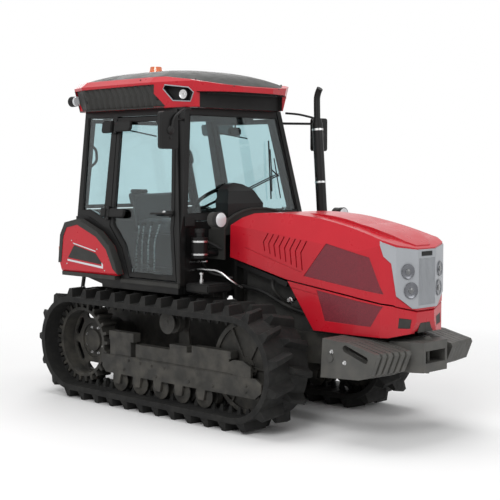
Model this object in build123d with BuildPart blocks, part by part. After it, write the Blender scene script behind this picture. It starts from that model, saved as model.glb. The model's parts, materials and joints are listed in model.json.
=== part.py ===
"""Crawler tractor with a glazed cab, rubber tracks, front weights and a rear linkage.

Millimetres. X points forward, Y to the left, Z up. The origin is on the ground, at the
middle of the overall length and on the centre plane.
"""

from build123d import *
from math import cos, degrees, pi, sin, tan, radians
import os

os.makedirs("parts", exist_ok=True)

# Driving dimensions
HALF_LENGTH = 1750          # weight carrier in front and lower link ends behind
WHEELBASE = 1655            # sprocket centre to idler centre
MID_AXLES_X = -120          # half way between the two wheels of a track
IDLER_X = MID_AXLES_X + WHEELBASE / 2
SPROCKET_X = MID_AXLES_X - WHEELBASE / 2
AXLE_Z = 400
TRACK_GAUGE = 1110
SHOE_WIDTH = 360
BELT_THICKNESS = 38
LUG_HEIGHT = 60
LUG_COUNT = 33
SEAT_GAP = 0.3              # running gap where curved faces meet
MOVING_GAP = 8              # gap round a moving panel

# Places worked out from the driving dimensions
TRACK_Y = TRACK_GAUGE / 2
TRACK_INNER_Y = TRACK_Y - SHOE_WIDTH / 2
BELT_INNER_R = AXLE_Z - LUG_HEIGHT - BELT_THICKNESS
BELT_OUTER_R = BELT_INNER_R + BELT_THICKNESS
NEUTRAL_R = BELT_INNER_R + BELT_THICKNESS / 2
LOOP_LENGTH = 2 * WHEELBASE + 2 * pi * NEUTRAL_R
LUG_PITCH = LOOP_LENGTH / LUG_COUNT

# Drive horns inside the belt, in two rows about its centre line
HORN_HEIGHT = 42
HORN_INNER_Y = 30
HORN_WIDTH = 32
HORN_LENGTH = 40
HORNS_PER_LUG = 2
HORN_OUTER_Y = HORN_INNER_Y + HORN_WIDTH
HORN_PITCH = LUG_PITCH / HORNS_PER_LUG

# Drive sprocket
DRUM_R = BELT_INNER_R - HORN_HEIGHT - 5
DRUM_WALL = 22
TOOTH_TIP_R = BELT_INNER_R - 12
TOOTH_COUNT = round(2 * pi * NEUTRAL_R / HORN_PITCH)
TOOTH_START = -90 - degrees(0.5 * HORN_PITCH / NEUTRAL_R)
TOOTH_ROOT = 26
TOOTH_TIP = 18
HUB_R = 128
DISC_THICKNESS = 18
WINDOW_RING_R = 188
WINDOW_COUNT = 6
WINDOW_LENGTH = 96
WINDOW_WIDTH = 52

# Idler
IDLER_HALF_WIDTH = 24
IDLER_RIM = 30
IDLER_WEB = 16
IDLER_RIBS = 6
IDLER_BOSS_R = 62
IDLER_AXLE_R = 32

# Track frame: an inverted channel with the rollers and the idler between its plates
BEAM_OUTER_Y = 660
BEAM_INNER_Y = 450
BEAM_PLATE = 20
BEAM_BOTTOM_Z = 224
BEAM_TOP_Z = 353
BEAM_REAR_X = SPROCKET_X + 287.5
BEAM_FRONT_X = IDLER_X + 205.5

ROLLER_R = 80
ROLLER_Z = AXLE_Z - BELT_INNER_R + ROLLER_R + SEAT_GAP
ROLLER_COUNT = 5
ROLLER_FIRST_X = SPROCKET_X + 449.5
ROLLER_LAST_X = IDLER_X - 345.5
ROLLER_PITCH = (ROLLER_LAST_X - ROLLER_FIRST_X) / (ROLLER_COUNT - 1)
ROLLER_HALF_WIDTH = 82
ROLLER_PIN_R = 20
BARREL_R = 34
CARRIER_X = MID_AXLES_X + 120
CARRIER_R = 76
CARRIER_Z = AXLE_Z + BELT_INNER_R - CARRIER_R - SEAT_GAP
CARRIER_HALF_WIDTH = 80
POST_PLATE = 16
HOUSING_INNER_Y = 592

# Main frame
AXLE_ARM_Y = 340
AXLE_ARM_R = 120
HUB_FACE_Y = 497
HOUSING_REAR_X = SPROCKET_X - 242.5
CROSS_TUBE_REAR_X = SPROCKET_X + 447.5
CROSS_TUBE_FRONT_X = IDLER_X - 457.5
CROSS_TUBE_Z = 292
NOSE_X = HALF_LENGTH - 76
CRADLE_FRONT_X = NOSE_X - 174
CRADLE_TOP_Z = 610
CRADLE_Y = 200
ENGINE_REAR_X = 330
ENGINE_FRONT_X = NOSE_X - 294
ENGINE_HALF_WIDTH = 190
ENGINE_TOP_Z = 1150

# Front weights
TOW_PIN_R = 14
TOW_PIN_X = HALF_LENGTH - 62
WEIGHT_REAR_X = HALF_LENGTH - 501
WEIGHT_LENGTH = 437
WEIGHT_COUNT = 6
WEIGHT_FIRST_Y = 212
WEIGHT_PITCH = 48
WEIGHT_THICKNESS = 38
WEIGHT_FAN = 8

# Cab shell
CAB_REAR_X = -1200
CAB_FRONT_X = 260
REAR_WALL_X = -1019
FENDER_Y = 662
DOOR_DEPTH = 30
TUB_WALL = 8
TUB_STEP_X = -735           # the floor is raised behind this place
BULKHEAD_Y = 554
BULKHEAD_FOOT_X = 95
BULKHEAD_TOP_X = 110
BULKHEAD_TOP_Z = 1306
DOOR_RAIL = 30
REAR_RAIL = 28
REAR_FRAME_DEPTH = 26
REAR_HINGE_DOWN = 50
REAR_HINGE_OUT = 12
REAR_HINGE_R = 9
REAR_HINGE_Y = 260
HINGE_HEIGHTS = (1350, 1960)
HINGE_R = 11
HINGE_PIN_R = 5
HINGE_PROUD = 15
HINGE_BACK = 10
KNUCKLE_HALF = 26
KNUCKLE_END = 48
CAB_FLOOR_Z = 880
TUB_BOTTOM_Z = CAB_FLOOR_Z - 60
CAB_BELT_Z = 1250
CAB_TOP_Z = 2078
CAB_HALF_WIDTH = 606
CAB_TOP_HALF_WIDTH = 470
CAB_WALL = 42
GLASS_INSET = 12
GLASS_THICKNESS = 6
A_PILLAR_FOOT_X = 125
A_PILLAR_TOP_X = 20
C_PILLAR_FOOT_X = -1019
C_PILLAR_TOP_X = -1068
SILL_Z = 880
REAR_DECK_Z = 905

# Roof
ROOF_REAR_X = -1238
ROOF_LOW_Z = CAB_TOP_Z
ROOF_BAND_Z = 2250          # level where the roof is widest
ROOF_RIM = 42               # height of the chamfer above that level
ROOF_RIM_TAPER = 50
ROOF_CROWN_Z = 2372
ROOF_HALF_WIDTH = 560
ROOF_TAPER = 13
RECESS_Y = 470              # bottom of the recess behind a fluted side panel
FLUTE_SINK = 12
FLUTE_COUNT = 13
FLUTE_PITCH = 64
FLUTE_R = 30
FLUTE_DEPTH = 9
ROOF_LAMP_R = 34
LAMP_RECESS = 60
OVERALL_HEIGHT = 2423
BEACON_X = -820
BEACON_BASE_Z = 2368

# Hood
HOOD_HALF_WIDTH = 302
HOOD_SKIN = 14
HOOD_REAR_X = 275
DRAWN_NOSE_X = 1674         # the hood's outlines are drawn for a nose at this place
HOOD_STRETCH = (NOSE_X - HOOD_REAR_X) / (DRAWN_NOSE_X - HOOD_REAR_X)
HOOD_HINGE_X = 372
HOOD_HINGE_Z = 1300
SHIELD_PROUD = 6
SCREEN_SINK = 3
SCREEN_THICKNESS = 6
LOUVRE_COUNT = 8
LOUVRE_WIDTH = 9
HEADLAMP_SEAT = 12
ARCH_X = 285
SCUTTLE_REAR_X = 128
SCUTTLE_FRONT_X = 262
SCUTTLE_LOW_Z = 1050
SCUTTLE_CREST_Z = 1395
SCUTTLE_SKIN = 12
SIDE_LAMP_X = 504
SIDE_LAMP_Y = 611
SIDE_LAMP_Z = 1334
SIDE_LAMP_R = 49
EXHAUST_X = 460
EXHAUST_Y = 450
MIRROR_ARM_X = 12
MIRROR_ARM_Z = 1992
MIRROR_AT = (152, -744, 1912)

# Controls
STEER_HUB = (-115, 0, 1420)
STEER_DIRECTION = (-0.5, 0, 0.866)
STEER_R = 190

# Rear linkage
HITCH_REAR_X = HOUSING_REAR_X - 30
LIFT_X = HOUSING_REAR_X + 40
LIFT_Z = 810
LIFT_ARM_Y = 225
ARM_END_X = LIFT_X - 230
ARM_END_Z = 850
LINK_X = HOUSING_REAR_X - 65
LINK_Y = 235
LINK_Z = 430
BALL_R = 32
BALL_X = BALL_R - HALF_LENGTH
LINK_BORE_R = 14.35
ROD_Y = 262
ROD_FOOT_SHARE = 0.464      # of the way from a link's pin to its ball
ROD_FOOT_X = LINK_X + ROD_FOOT_SHARE * (BALL_X - LINK_X)
TOP_LINK_X = HOUSING_REAR_X - 68
TOP_LINK_Z = 670
TOP_PIN_R = 12.7
DRAWBAR_X = HOUSING_REAR_X - 258
DRAWBAR_BORE_R = 15
PTO_END_X = HOUSING_REAR_X - 110
PTO_Z = 545
PTO_R = 17.4


def side_sheet(outline, near_y, width, mode=Mode.ADD):
    """Extrudes an X-Z outline on the right-hand side, from near_y outwards by width."""
    with BuildSketch(Plane.XZ.offset(near_y)) as sheet:
        with BuildLine():
            Polyline(*outline, close=True)
        make_face()
    extrude(sheet.sketch, amount=width, mode=mode)


def plan_sheet(outline, low_z, height, mode=Mode.ADD):
    """Extrudes an X-Y outline upwards from low_z."""
    with BuildSketch(Plane.XY.offset(low_z)) as sheet:
        with BuildLine():
            Polyline(*outline, close=True)
        make_face()
    extrude(sheet.sketch, amount=height, mode=mode)


def box_between(x_range, y_range, z_range, mode=Mode.ADD):
    """A box given by its low and high sides."""
    size = [high - low for low, high in (x_range, y_range, z_range)]
    middle = [(high + low) / 2 for low, high in (x_range, y_range, z_range)]
    with Locations(Vector(*middle)):
        Box(*size, mode=mode)


def rod_between(start, end, radius, mode=Mode.ADD):
    """A round bar from one point to another."""
    line = Vector(*end) - Vector(*start)
    plane = Plane(origin=start, z_dir=line)
    with BuildSketch(plane) as section:
        Circle(radius)
    extrude(section.sketch, amount=line.length, mode=mode)


def save(piece, name):
    """Labels a finished piece and writes its STEP file."""
    piece.part.label = name
    export_step(piece.part, f"parts/{name}.step")


def save_pair(piece, name):
    """Writes a right-hand piece and its mirror image as two nodes."""
    save(piece, f"{name}_right")
    with BuildPart() as twin:
        mirror(piece.part, about=Plane.XZ)
    save(twin, f"{name}_left")


def save_both(piece, name):
    """Writes a right-hand piece and its mirror image as the solids of one node."""
    with BuildPart() as both:
        add(piece.part)
        mirror(piece.part, about=Plane.XZ)
    save(both, name)


def belt_plane(travel, radius):
    """Plane on the track loop at a travelled distance, its normal pointing outwards."""
    arc = pi * NEUTRAL_R
    if travel < WHEELBASE:
        centre_x, angle = SPROCKET_X + travel, -pi / 2
    elif travel < WHEELBASE + arc:
        centre_x, angle = IDLER_X, -pi / 2 + (travel - WHEELBASE) / NEUTRAL_R
    elif travel < 2 * WHEELBASE + arc:
        centre_x, angle = IDLER_X - (travel - WHEELBASE - arc), pi / 2
    else:
        centre_x, angle = SPROCKET_X, pi / 2 + (travel - 2 * WHEELBASE - arc) / NEUTRAL_R
    outward = Vector(cos(angle), 0, sin(angle))
    origin = Vector(centre_x, -TRACK_Y, AXLE_Z) + outward * radius
    return Plane(origin=origin, x_dir=(-sin(angle), 0, cos(angle)), z_dir=outward)


def on_arc(travel):
    """True where the loop turns round an end wheel."""
    arc = pi * NEUTRAL_R
    return WHEELBASE < travel < WHEELBASE + arc or travel > 2 * WHEELBASE + arc


# Tracks: a belt loop with two staggered rows of slanting lugs and two rows of horns
LUG_SINK = 10               # how deep a lug's root starts inside the belt
ARC_SINK = 4.6              # keeps lug corners inside the loop's outline on the bends
LUG_ROOT_HALF = 38
LUG_SWEEP = 40
LUG_OVERLAP_Y = 14
LUG_TAPER = 16
half_shoe = SHOE_WIDTH / 2

with BuildPart(mode=Mode.PRIVATE) as lug:
    with BuildSketch():
        with BuildLine():
            Polyline((-LUG_ROOT_HALF, -half_shoe + 1), (LUG_ROOT_HALF, -half_shoe + 1),
                     (LUG_ROOT_HALF + LUG_SWEEP, LUG_OVERLAP_Y),
                     (-LUG_ROOT_HALF + LUG_SWEEP + 14, LUG_OVERLAP_Y), close=True)
        make_face()
    extrude(amount=LUG_HEIGHT + LUG_SINK, taper=LUG_TAPER)

with BuildPart(mode=Mode.PRIVATE) as lug_inner:
    add(mirror(lug.part, about=Plane.XZ, mode=Mode.PRIVATE))

with BuildPart(mode=Mode.PRIVATE) as horn:
    with BuildSketch():
        with Locations((0, HORN_INNER_Y + HORN_WIDTH / 2), (0, -HORN_INNER_Y - HORN_WIDTH / 2)):
            Rectangle(HORN_LENGTH, HORN_WIDTH)
    extrude(amount=-(HORN_HEIGHT + LUG_SINK), taper=12)

with BuildPart() as track_right:
    with BuildSketch(Plane.XZ.offset(TRACK_INNER_Y)):
        with Locations(((SPROCKET_X + IDLER_X) / 2, AXLE_Z)):
            SlotCenterToCenter(WHEELBASE, 2 * BELT_OUTER_R)
            SlotCenterToCenter(WHEELBASE, 2 * BELT_INNER_R, mode=Mode.SUBTRACT)
    extrude(amount=SHOE_WIDTH)
    for row, shape in ((0, lug), (0.5, lug_inner)):
        places = []
        for number in range(LUG_COUNT):
            travel = (number + row + 0.25) * LUG_PITCH % LOOP_LENGTH
            sink = LUG_SINK + (ARC_SINK if on_arc(travel) else 0)
            places.append(belt_plane(travel, BELT_OUTER_R - sink).location)
        with Locations(places):
            add(shape.part)
    with Locations([
        belt_plane(number * HORN_PITCH, BELT_INNER_R + LUG_SINK).location
        for number in range(LUG_COUNT * HORNS_PER_LUG)
    ]):
        add(horn.part)
save_both(track_right, "tracks")

# Drive sprockets: a toothed drum between the horns on a dished disc with six windows
with BuildPart() as sprocket_right:
    with BuildSketch(Plane.XZ.offset(TRACK_Y - HORN_OUTER_Y)):
        with Locations((SPROCKET_X, AXLE_Z)):
            Circle(DRUM_R)
            Circle(DRUM_R - DRUM_WALL, mode=Mode.SUBTRACT)
    extrude(amount=2 * HORN_OUTER_Y)
    with BuildSketch(Plane.XZ.offset(TRACK_Y - HORN_OUTER_Y)):
        with Locations((SPROCKET_X, AXLE_Z)):
            with PolarLocations(DRUM_R - 2, TOOTH_COUNT, start_angle=TOOTH_START):
                Polygon((0, -TOOTH_ROOT / 2), (TOOTH_TIP_R - DRUM_R + 2, -TOOTH_TIP / 2),
                        (TOOTH_TIP_R - DRUM_R + 2, TOOTH_TIP / 2), (0, TOOTH_ROOT / 2),
                        align=None)
    extrude(amount=2 * HORN_OUTER_Y)
    with BuildSketch(Plane.XZ.offset(TRACK_Y - HORN_OUTER_Y)):
        with Locations((SPROCKET_X, AXLE_Z)):
            Circle(DRUM_R - DRUM_WALL + 1)
            Circle(HUB_R + SEAT_GAP, mode=Mode.SUBTRACT)
            with PolarLocations(WINDOW_RING_R, WINDOW_COUNT, start_angle=30):
                SlotCenterToCenter(WINDOW_LENGTH, WINDOW_WIDTH, rotation=90,
                                   mode=Mode.SUBTRACT)
    extrude(amount=DISC_THICKNESS)
save_both(sprocket_right, "sprockets")

# Front idlers: a rim that runs between the two rows of horns, ribbed disc and boss
with BuildPart() as idler_right:
    with BuildSketch(Plane.XZ.offset(TRACK_Y - IDLER_HALF_WIDTH)):
        with Locations((IDLER_X, AXLE_Z)):
            Circle(BELT_INNER_R - SEAT_GAP)
            Circle(BELT_INNER_R - IDLER_RIM, mode=Mode.SUBTRACT)
    extrude(amount=2 * IDLER_HALF_WIDTH)
    with BuildSketch(Plane.XZ.offset(TRACK_Y - IDLER_WEB / 2)):
        with Locations((IDLER_X, AXLE_Z)):
            Circle(BELT_INNER_R - IDLER_RIM + 1)
    extrude(amount=IDLER_WEB)
    with BuildSketch(Plane.XZ.offset(TRACK_Y - IDLER_HALF_WIDTH)):
        with Locations((IDLER_X, AXLE_Z)):
            with PolarLocations(BELT_INNER_R / 2, IDLER_RIBS):
                Rectangle(BELT_INNER_R - IDLER_RIM, 14)
            Circle(IDLER_BOSS_R)
    extrude(amount=2 * IDLER_HALF_WIDTH)
    with Locations(Plane.XZ.offset(TRACK_Y)):
        with Locations((IDLER_X, AXLE_Z)):
            Hole(IDLER_AXLE_R + SEAT_GAP)
save_both(idler_right, "idlers")


def roller(x, z, radius, half_width):
    """A track roller: a slim barrel with a middle wheel and two end flanges."""
    middle = IDLER_HALF_WIDTH
    flange = HORN_OUTER_Y + 5
    low = BARREL_R
    with BuildSketch(Plane.XY.offset(z)) as half:
        with BuildLine():
            Polyline((x, -TRACK_Y - half_width), (x + low, -TRACK_Y - half_width),
                     (x + radius, -TRACK_Y - half_width + 6), (x + radius, -TRACK_Y - flange),
                     (x + low, -TRACK_Y - flange), (x + low, -TRACK_Y - middle),
                     (x + radius, -TRACK_Y - middle), (x + radius, -TRACK_Y + middle),
                     (x + low, -TRACK_Y + middle), (x + low, -TRACK_Y + flange),
                     (x + radius, -TRACK_Y + flange), (x + radius, -TRACK_Y + half_width - 6),
                     (x + low, -TRACK_Y + half_width), (x, -TRACK_Y + half_width), close=True)
        make_face()
    revolve(half.sketch, axis=Axis((x, 0, z), (0, 1, 0)))
    with Locations(Plane.XZ.offset(TRACK_Y)):
        with Locations((x, z)):
            Hole(ROLLER_PIN_R + SEAT_GAP)


# Track rollers below the frame and one carrier roller above it, as separate solids
roller_xs = [ROLLER_FIRST_X + number * ROLLER_PITCH for number in range(ROLLER_COUNT)]
with BuildPart() as rollers_right:
    for roller_x in roller_xs:
        roller(roller_x, ROLLER_Z, ROLLER_R, ROLLER_HALF_WIDTH)
    roller(CARRIER_X, CARRIER_Z, CARRIER_R, CARRIER_HALF_WIDTH)
save_both(rollers_right, "rollers")

# Track frames: an inverted channel that straddles the rollers, with the idler's slides
DECK_FRONT_X = IDLER_X - BELT_INNER_R - MOVING_GAP
with BuildPart() as track_frame_right:
    for plate_y in (BEAM_INNER_Y, BEAM_OUTER_Y - BEAM_PLATE):
        side_sheet([(BEAM_REAR_X, BEAM_BOTTOM_Z + 40), (BEAM_REAR_X + 40, BEAM_BOTTOM_Z),
                    (BEAM_FRONT_X - 60, BEAM_BOTTOM_Z), (BEAM_FRONT_X, BEAM_BOTTOM_Z + 45),
                    (BEAM_FRONT_X, BEAM_TOP_Z - 30), (BEAM_FRONT_X - 50, BEAM_TOP_Z),
                    (BEAM_REAR_X, BEAM_TOP_Z)], plate_y, BEAM_PLATE)
    box_between((BEAM_REAR_X + 15, DECK_FRONT_X), (-BEAM_OUTER_Y + 5, -BEAM_INNER_Y - 5),
                (BEAM_TOP_Z - BEAM_PLATE, BEAM_TOP_Z))
    # Spring and slide housings that stand on the outer edge of the deck: x range, z range
    for x_range, z_range in (((-297, 620), (BEAM_TOP_Z, 452)), ((56, 225), (452, 492)),
                             ((274, 638), (452, 502)), ((-575, -351), (BEAM_TOP_Z, 460)),
                             ((-585, -320), (460, 523))):
        box_between(x_range, (-BEAM_OUTER_Y + 4, -HOUSING_INNER_Y), z_range)
    # Carrier roller post and stub axle
    post_y = TRACK_Y - CARRIER_HALF_WIDTH - POST_PLATE - 2
    side_sheet([(CARRIER_X - 70, BEAM_TOP_Z - 5), (CARRIER_X + 70, BEAM_TOP_Z - 5),
                (CARRIER_X + 32, CARRIER_Z + 30), (CARRIER_X - 32, CARRIER_Z + 30)],
               post_y, POST_PLATE)
    rod_between((CARRIER_X, -post_y - 2, CARRIER_Z),
                (CARRIER_X, -TRACK_Y - CARRIER_HALF_WIDTH - 2, CARRIER_Z), ROLLER_PIN_R)
    for roller_x in roller_xs:
        rod_between((roller_x, -BEAM_INNER_Y - 5, ROLLER_Z),
                    (roller_x, -BEAM_OUTER_Y + 5, ROLLER_Z), ROLLER_PIN_R)
        for plate_y in (BEAM_INNER_Y, BEAM_OUTER_Y - BEAM_PLATE):
            side_sheet([(roller_x - 46, BEAM_BOTTOM_Z + 20), (roller_x - 26, ROLLER_Z - 24),
                        (roller_x + 26, ROLLER_Z - 24), (roller_x + 46, BEAM_BOTTOM_Z + 20)],
                       plate_y, BEAM_PLATE)
    # Idler yoke: slide blocks on both plates and the idler's axle
    rod_between((IDLER_X, -BEAM_INNER_Y, AXLE_Z), (IDLER_X, -BEAM_OUTER_Y + 2, AXLE_Z),
                IDLER_AXLE_R)
    for plate_y in (BEAM_INNER_Y, BEAM_OUTER_Y - BEAM_PLATE - 2):
        side_sheet([(IDLER_X - 92, BEAM_TOP_Z - 10), (IDLER_X + 110, BEAM_TOP_Z - 10),
                    (IDLER_X + 110, AXLE_Z + 20), (IDLER_X + 45, AXLE_Z + 52),
                    (IDLER_X - 45, AXLE_Z + 52), (IDLER_X - 92, AXLE_Z + 30)],
                   plate_y, BEAM_PLATE)
save_both(track_frame_right, "track_frames")

# Main frame: transmission housing, axle arms, front cradle and the two cross tubes
with BuildPart() as main_frame:
    box_between((HOUSING_REAR_X, -250), (-185, 185), (330, 760))
    side_sheet([(-260, 380), (CRADLE_FRONT_X - 190, 420), (CRADLE_FRONT_X, 470),
                (CRADLE_FRONT_X, 590), (CRADLE_FRONT_X - 60, CRADLE_TOP_Z),
                (-260, CRADLE_TOP_Z)], -CRADLE_Y, 2 * CRADLE_Y)
    side_sheet([(-200, 470), (CRADLE_FRONT_X - 120, 490), (CRADLE_FRONT_X - 120, 611),
                (-200, 611)], -160, 320, mode=Mode.SUBTRACT)
    with BuildSketch(Plane.XZ.offset(-AXLE_ARM_Y)):
        with Locations((SPROCKET_X, AXLE_Z)):
            Circle(AXLE_ARM_R)
    extrude(amount=2 * AXLE_ARM_Y)
    for side in (-1, 1):
        # Final drive: stepped hub that passes through the sprocket, y range and radius
        for low, high, radius in ((AXLE_ARM_Y - 30, 405, 165), (400, HUB_FACE_Y, HUB_R),
                                  (HUB_FACE_Y - 2, HUB_FACE_Y + 22, 78)):
            rod_between((SPROCKET_X, side * low, AXLE_Z), (SPROCKET_X, side * high, AXLE_Z),
                        radius)
        for tube_x in (CROSS_TUBE_REAR_X, CROSS_TUBE_FRONT_X):
            rod_between((tube_x, side * 150, CROSS_TUBE_Z),
                        (tube_x, side * (BEAM_INNER_Y - SEAT_GAP), CROSS_TUBE_Z), 52)
            rod_between((tube_x, side * (BEAM_INNER_Y - 26), CROSS_TUBE_Z),
                        (tube_x, side * (BEAM_INNER_Y - SEAT_GAP), CROSS_TUBE_Z), 62)
    box_between((CROSS_TUBE_FRONT_X - 80, CROSS_TUBE_FRONT_X + 80), (-165, 165), (240, 420))
    box_between((CROSS_TUBE_REAR_X - 200, CROSS_TUBE_REAR_X + 200), (-150, 150), (230, 340))
    # Cab mounts, from the housing behind and from the cradle in front: x and foot height
    for mount_x, foot_z in ((TUB_STEP_X + 50, 755), (0, CRADLE_TOP_Z - 5)):
        for side in (-1, 1):
            rod_between((mount_x, side * 145, foot_z), (mount_x, side * 145, TUB_BOTTOM_Z), 38)
save(main_frame, "main_frame")

with BuildPart() as engine_block:
    box_between((ENGINE_REAR_X, ENGINE_FRONT_X), (-ENGINE_HALF_WIDTH, ENGINE_HALF_WIDTH),
                (CRADLE_TOP_Z, ENGINE_TOP_Z))
    chamfer(engine_block.edges().filter_by(Axis.X).group_by(Axis.Z)[-1], length=60)
save(engine_block, "engine_block")

# Front support: cast nose plate, weight bracket and tow pin
with BuildPart() as front_support:
    box_between((CRADLE_FRONT_X + 0.2, CRADLE_FRONT_X + 60), (-190, 190), (440, 600))
    plan_sheet([(CRADLE_FRONT_X + 50, -200), (HALF_LENGTH - 70, -157), (HALF_LENGTH, -120),
                (HALF_LENGTH, 120), (HALF_LENGTH - 70, 157), (CRADLE_FRONT_X + 50, 200)],
               430, 185)
    box_between((HALF_LENGTH - 130, HALF_LENGTH + 1), (-100, 100), (485, 560), Mode.SUBTRACT)
    with Locations((TOW_PIN_X, 0, 0)):
        Cylinder(TOW_PIN_R + 0.2, 1400, mode=Mode.SUBTRACT)
    # The tow pin, loose in its bore
    rod_between((TOW_PIN_X, 0, 410), (TOW_PIN_X, 0, 640), TOW_PIN_R)
    rod_between((TOW_PIN_X, 0, 615.3), (TOW_PIN_X, 0, 630), 26)
save(front_support, "front_support")

# Weights: fanned plates each side on a through bar, each with a slanting slot
weight_outline = [(0, 392), (299, 409), (393, 448), (437, 556), (427, 575), (219, 622),
                  (15, 634)]
with BuildPart() as front_weights_right:
    for number in range(WEIGHT_COUNT):
        near_y = WEIGHT_FIRST_Y + number * WEIGHT_PITCH
        shift = WEIGHT_FAN * (WEIGHT_COUNT - 1 - number)
        side_sheet([(WEIGHT_REAR_X + x * (1 + shift / WEIGHT_LENGTH), z)
                    for x, z in weight_outline], near_y, WEIGHT_THICKNESS)
        with BuildSketch(Plane.XZ.offset(near_y)):
            with Locations((WEIGHT_REAR_X + 271 + shift, 560)):
                SlotCenterToCenter(160, 42, rotation=-19)
        extrude(amount=WEIGHT_THICKNESS, mode=Mode.SUBTRACT)
    rod_between((WEIGHT_REAR_X + 81, -200.5, 520),
                (WEIGHT_REAR_X + 81, -WEIGHT_FIRST_Y - WEIGHT_COUNT * WEIGHT_PITCH, 520), 24)
save_both(front_weights_right, "front_weights")


def side_wall(outline, skin_low, skin_high, mode=Mode.ADD):
    """A panel of the cab's bent side, between two depths, inside an X-Z outline."""
    def depth_line(depth):
        return [(-CAB_HALF_WIDTH + depth, SILL_Z - 60), (-CAB_HALF_WIDTH + depth, CAB_BELT_Z),
                (-CAB_TOP_HALF_WIDTH + depth, CAB_TOP_Z)]
    with BuildPart(mode=Mode.PRIVATE) as wall:
        with BuildSketch(Plane.YZ.offset(CAB_REAR_X)):
            with BuildLine():
                Polyline(*depth_line(skin_low), *reversed(depth_line(skin_high)), close=True)
            make_face()
        extrude(amount=CAB_FRONT_X - CAB_REAR_X)
        side_sheet(outline, 0, 900, mode=Mode.INTERSECT)
    add(wall.part, mode=mode)


def inset(outline, distance):
    """Moves a closed outline inwards by a distance."""
    with BuildSketch(mode=Mode.PRIVATE) as shape:
        with BuildLine():
            Polyline(*outline, close=True)
        make_face()
        offset(amount=-distance, kind=Kind.INTERSECTION, mode=Mode.REPLACE)
    ordered = shape.sketch.face().outer_wire().order_edges()
    return [(edge.position_at(0).X, edge.position_at(0).Y) for edge in ordered]


# Cab side outlines, in X and Z
A_TOP = (A_PILLAR_TOP_X, CAB_TOP_Z)
A_FOOT = (A_PILLAR_FOOT_X, 1345)
B_TOP = (-722, CAB_TOP_Z)
B_FOOT = (-684, 1262)
C_TOP = (C_PILLAR_TOP_X, CAB_TOP_Z)
C_FOOT = (C_PILLAR_FOOT_X, 1318)
side_outline = [A_TOP, A_FOOT, (108, SILL_Z), (-450, SILL_Z), (-530, 1110), (-660, 1240),
                (-880, 1318), C_FOOT, C_TOP]
door_hole = [(-66, CAB_TOP_Z - 46), (44, 1345), (76, SILL_Z + 22), (-425, SILL_Z + 22),
             (-500, 1105), (-636, 1262), (-690, CAB_TOP_Z - 46)]
quarter_hole = [(B_TOP[0] - 22, CAB_TOP_Z - 46), (B_FOOT[0] - 30, 1310), (-890, 1366),
                (C_FOOT[0] + 50, 1362), (C_TOP[0] + 40, CAB_TOP_Z - 46)]
door_outline = inset(door_hole, MOVING_GAP)
door_window = inset(door_outline, DOOR_RAIL)

# Sloping planes of the windscreen and the rear window: X across, Y up or down the pane
front_rise = Vector(A_TOP[0] - A_FOOT[0], 0, A_TOP[1] - A_FOOT[1])
rear_fall = Vector(C_FOOT[0] - C_TOP[0], 0, C_FOOT[1] - C_TOP[1])
FRONT_PLANE = Plane(origin=(A_TOP[0], 0, A_TOP[1]), x_dir=(0, 1, 0),
                    z_dir=Vector(0, 1, 0).cross(front_rise))
REAR_PLANE = Plane(origin=(C_TOP[0], 0, C_TOP[1]), x_dir=(0, 1, 0),
                   z_dir=Vector(0, 1, 0).cross(rear_fall))


def side_y(z, depth=0):
    """Distance of the cab's side from the centre plane at a height."""
    lean = (CAB_HALF_WIDTH - CAB_TOP_HALF_WIDTH) / (CAB_TOP_Z - CAB_BELT_Z)
    return CAB_HALF_WIDTH - depth - max(0, z - CAB_BELT_Z) * lean


def pane(plane, outline, outer_depth, thickness, mode=Mode.ADD):
    """A flat pane or frame in a sloping plane, from outer_depth inwards."""
    with BuildSketch(plane.offset(-outer_depth)) as sheet:
        with BuildLine():
            Polyline(*outline, close=True)
        make_face()
    extrude(sheet.sketch, amount=-thickness, mode=mode)


# Door hinge line: up the B pillar, outside the skin
HINGE_AXIS = Vector(B_TOP[0] - B_FOOT[0], side_y(B_FOOT[1]) - side_y(B_TOP[1]),
                    B_TOP[1] - B_FOOT[1]).normalized()
HINGE_FOOT = Vector(door_hole[5][0] - HINGE_BACK, -side_y(door_hole[5][1]) - HINGE_PROUD,
                    door_hole[5][1])


def hinge_plane(height):
    """Plane across the hinge line at a height: X forwards, Y inwards, Z up the line."""
    origin = HINGE_FOOT + HINGE_AXIS * ((height - HINGE_FOOT.Z) / HINGE_AXIS.Z)
    return Plane(origin=origin, x_dir=(1, 0, -HINGE_AXIS.X / HINGE_AXIS.Z), z_dir=HINGE_AXIS)


def knuckle(height, low, high, leaf_to):
    """A hinge knuckle between two places on the line, with a leaf to the panel behind it."""
    plane = hinge_plane(height)
    direction = 1 if leaf_to > 0 else -1
    with BuildSketch(plane.offset(low)) as section:
        Circle(HINGE_R)
        with BuildLine():
            Polyline((0, -HINGE_R + 1), (leaf_to, HINGE_PROUD - 7),
                     (leaf_to, HINGE_PROUD + 2), (direction * 21, HINGE_PROUD + 2),
                     (0, HINGE_R - 2), close=True)
        make_face()
    extrude(section.sketch, amount=high - low)


def rear_point(down, out):
    """A point on the centre plane, given down the rear window's plane and outwards from it."""
    point = REAR_PLANE.from_local_coords(Vector(0, down, out))
    return (point.X, point.Z)


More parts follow.
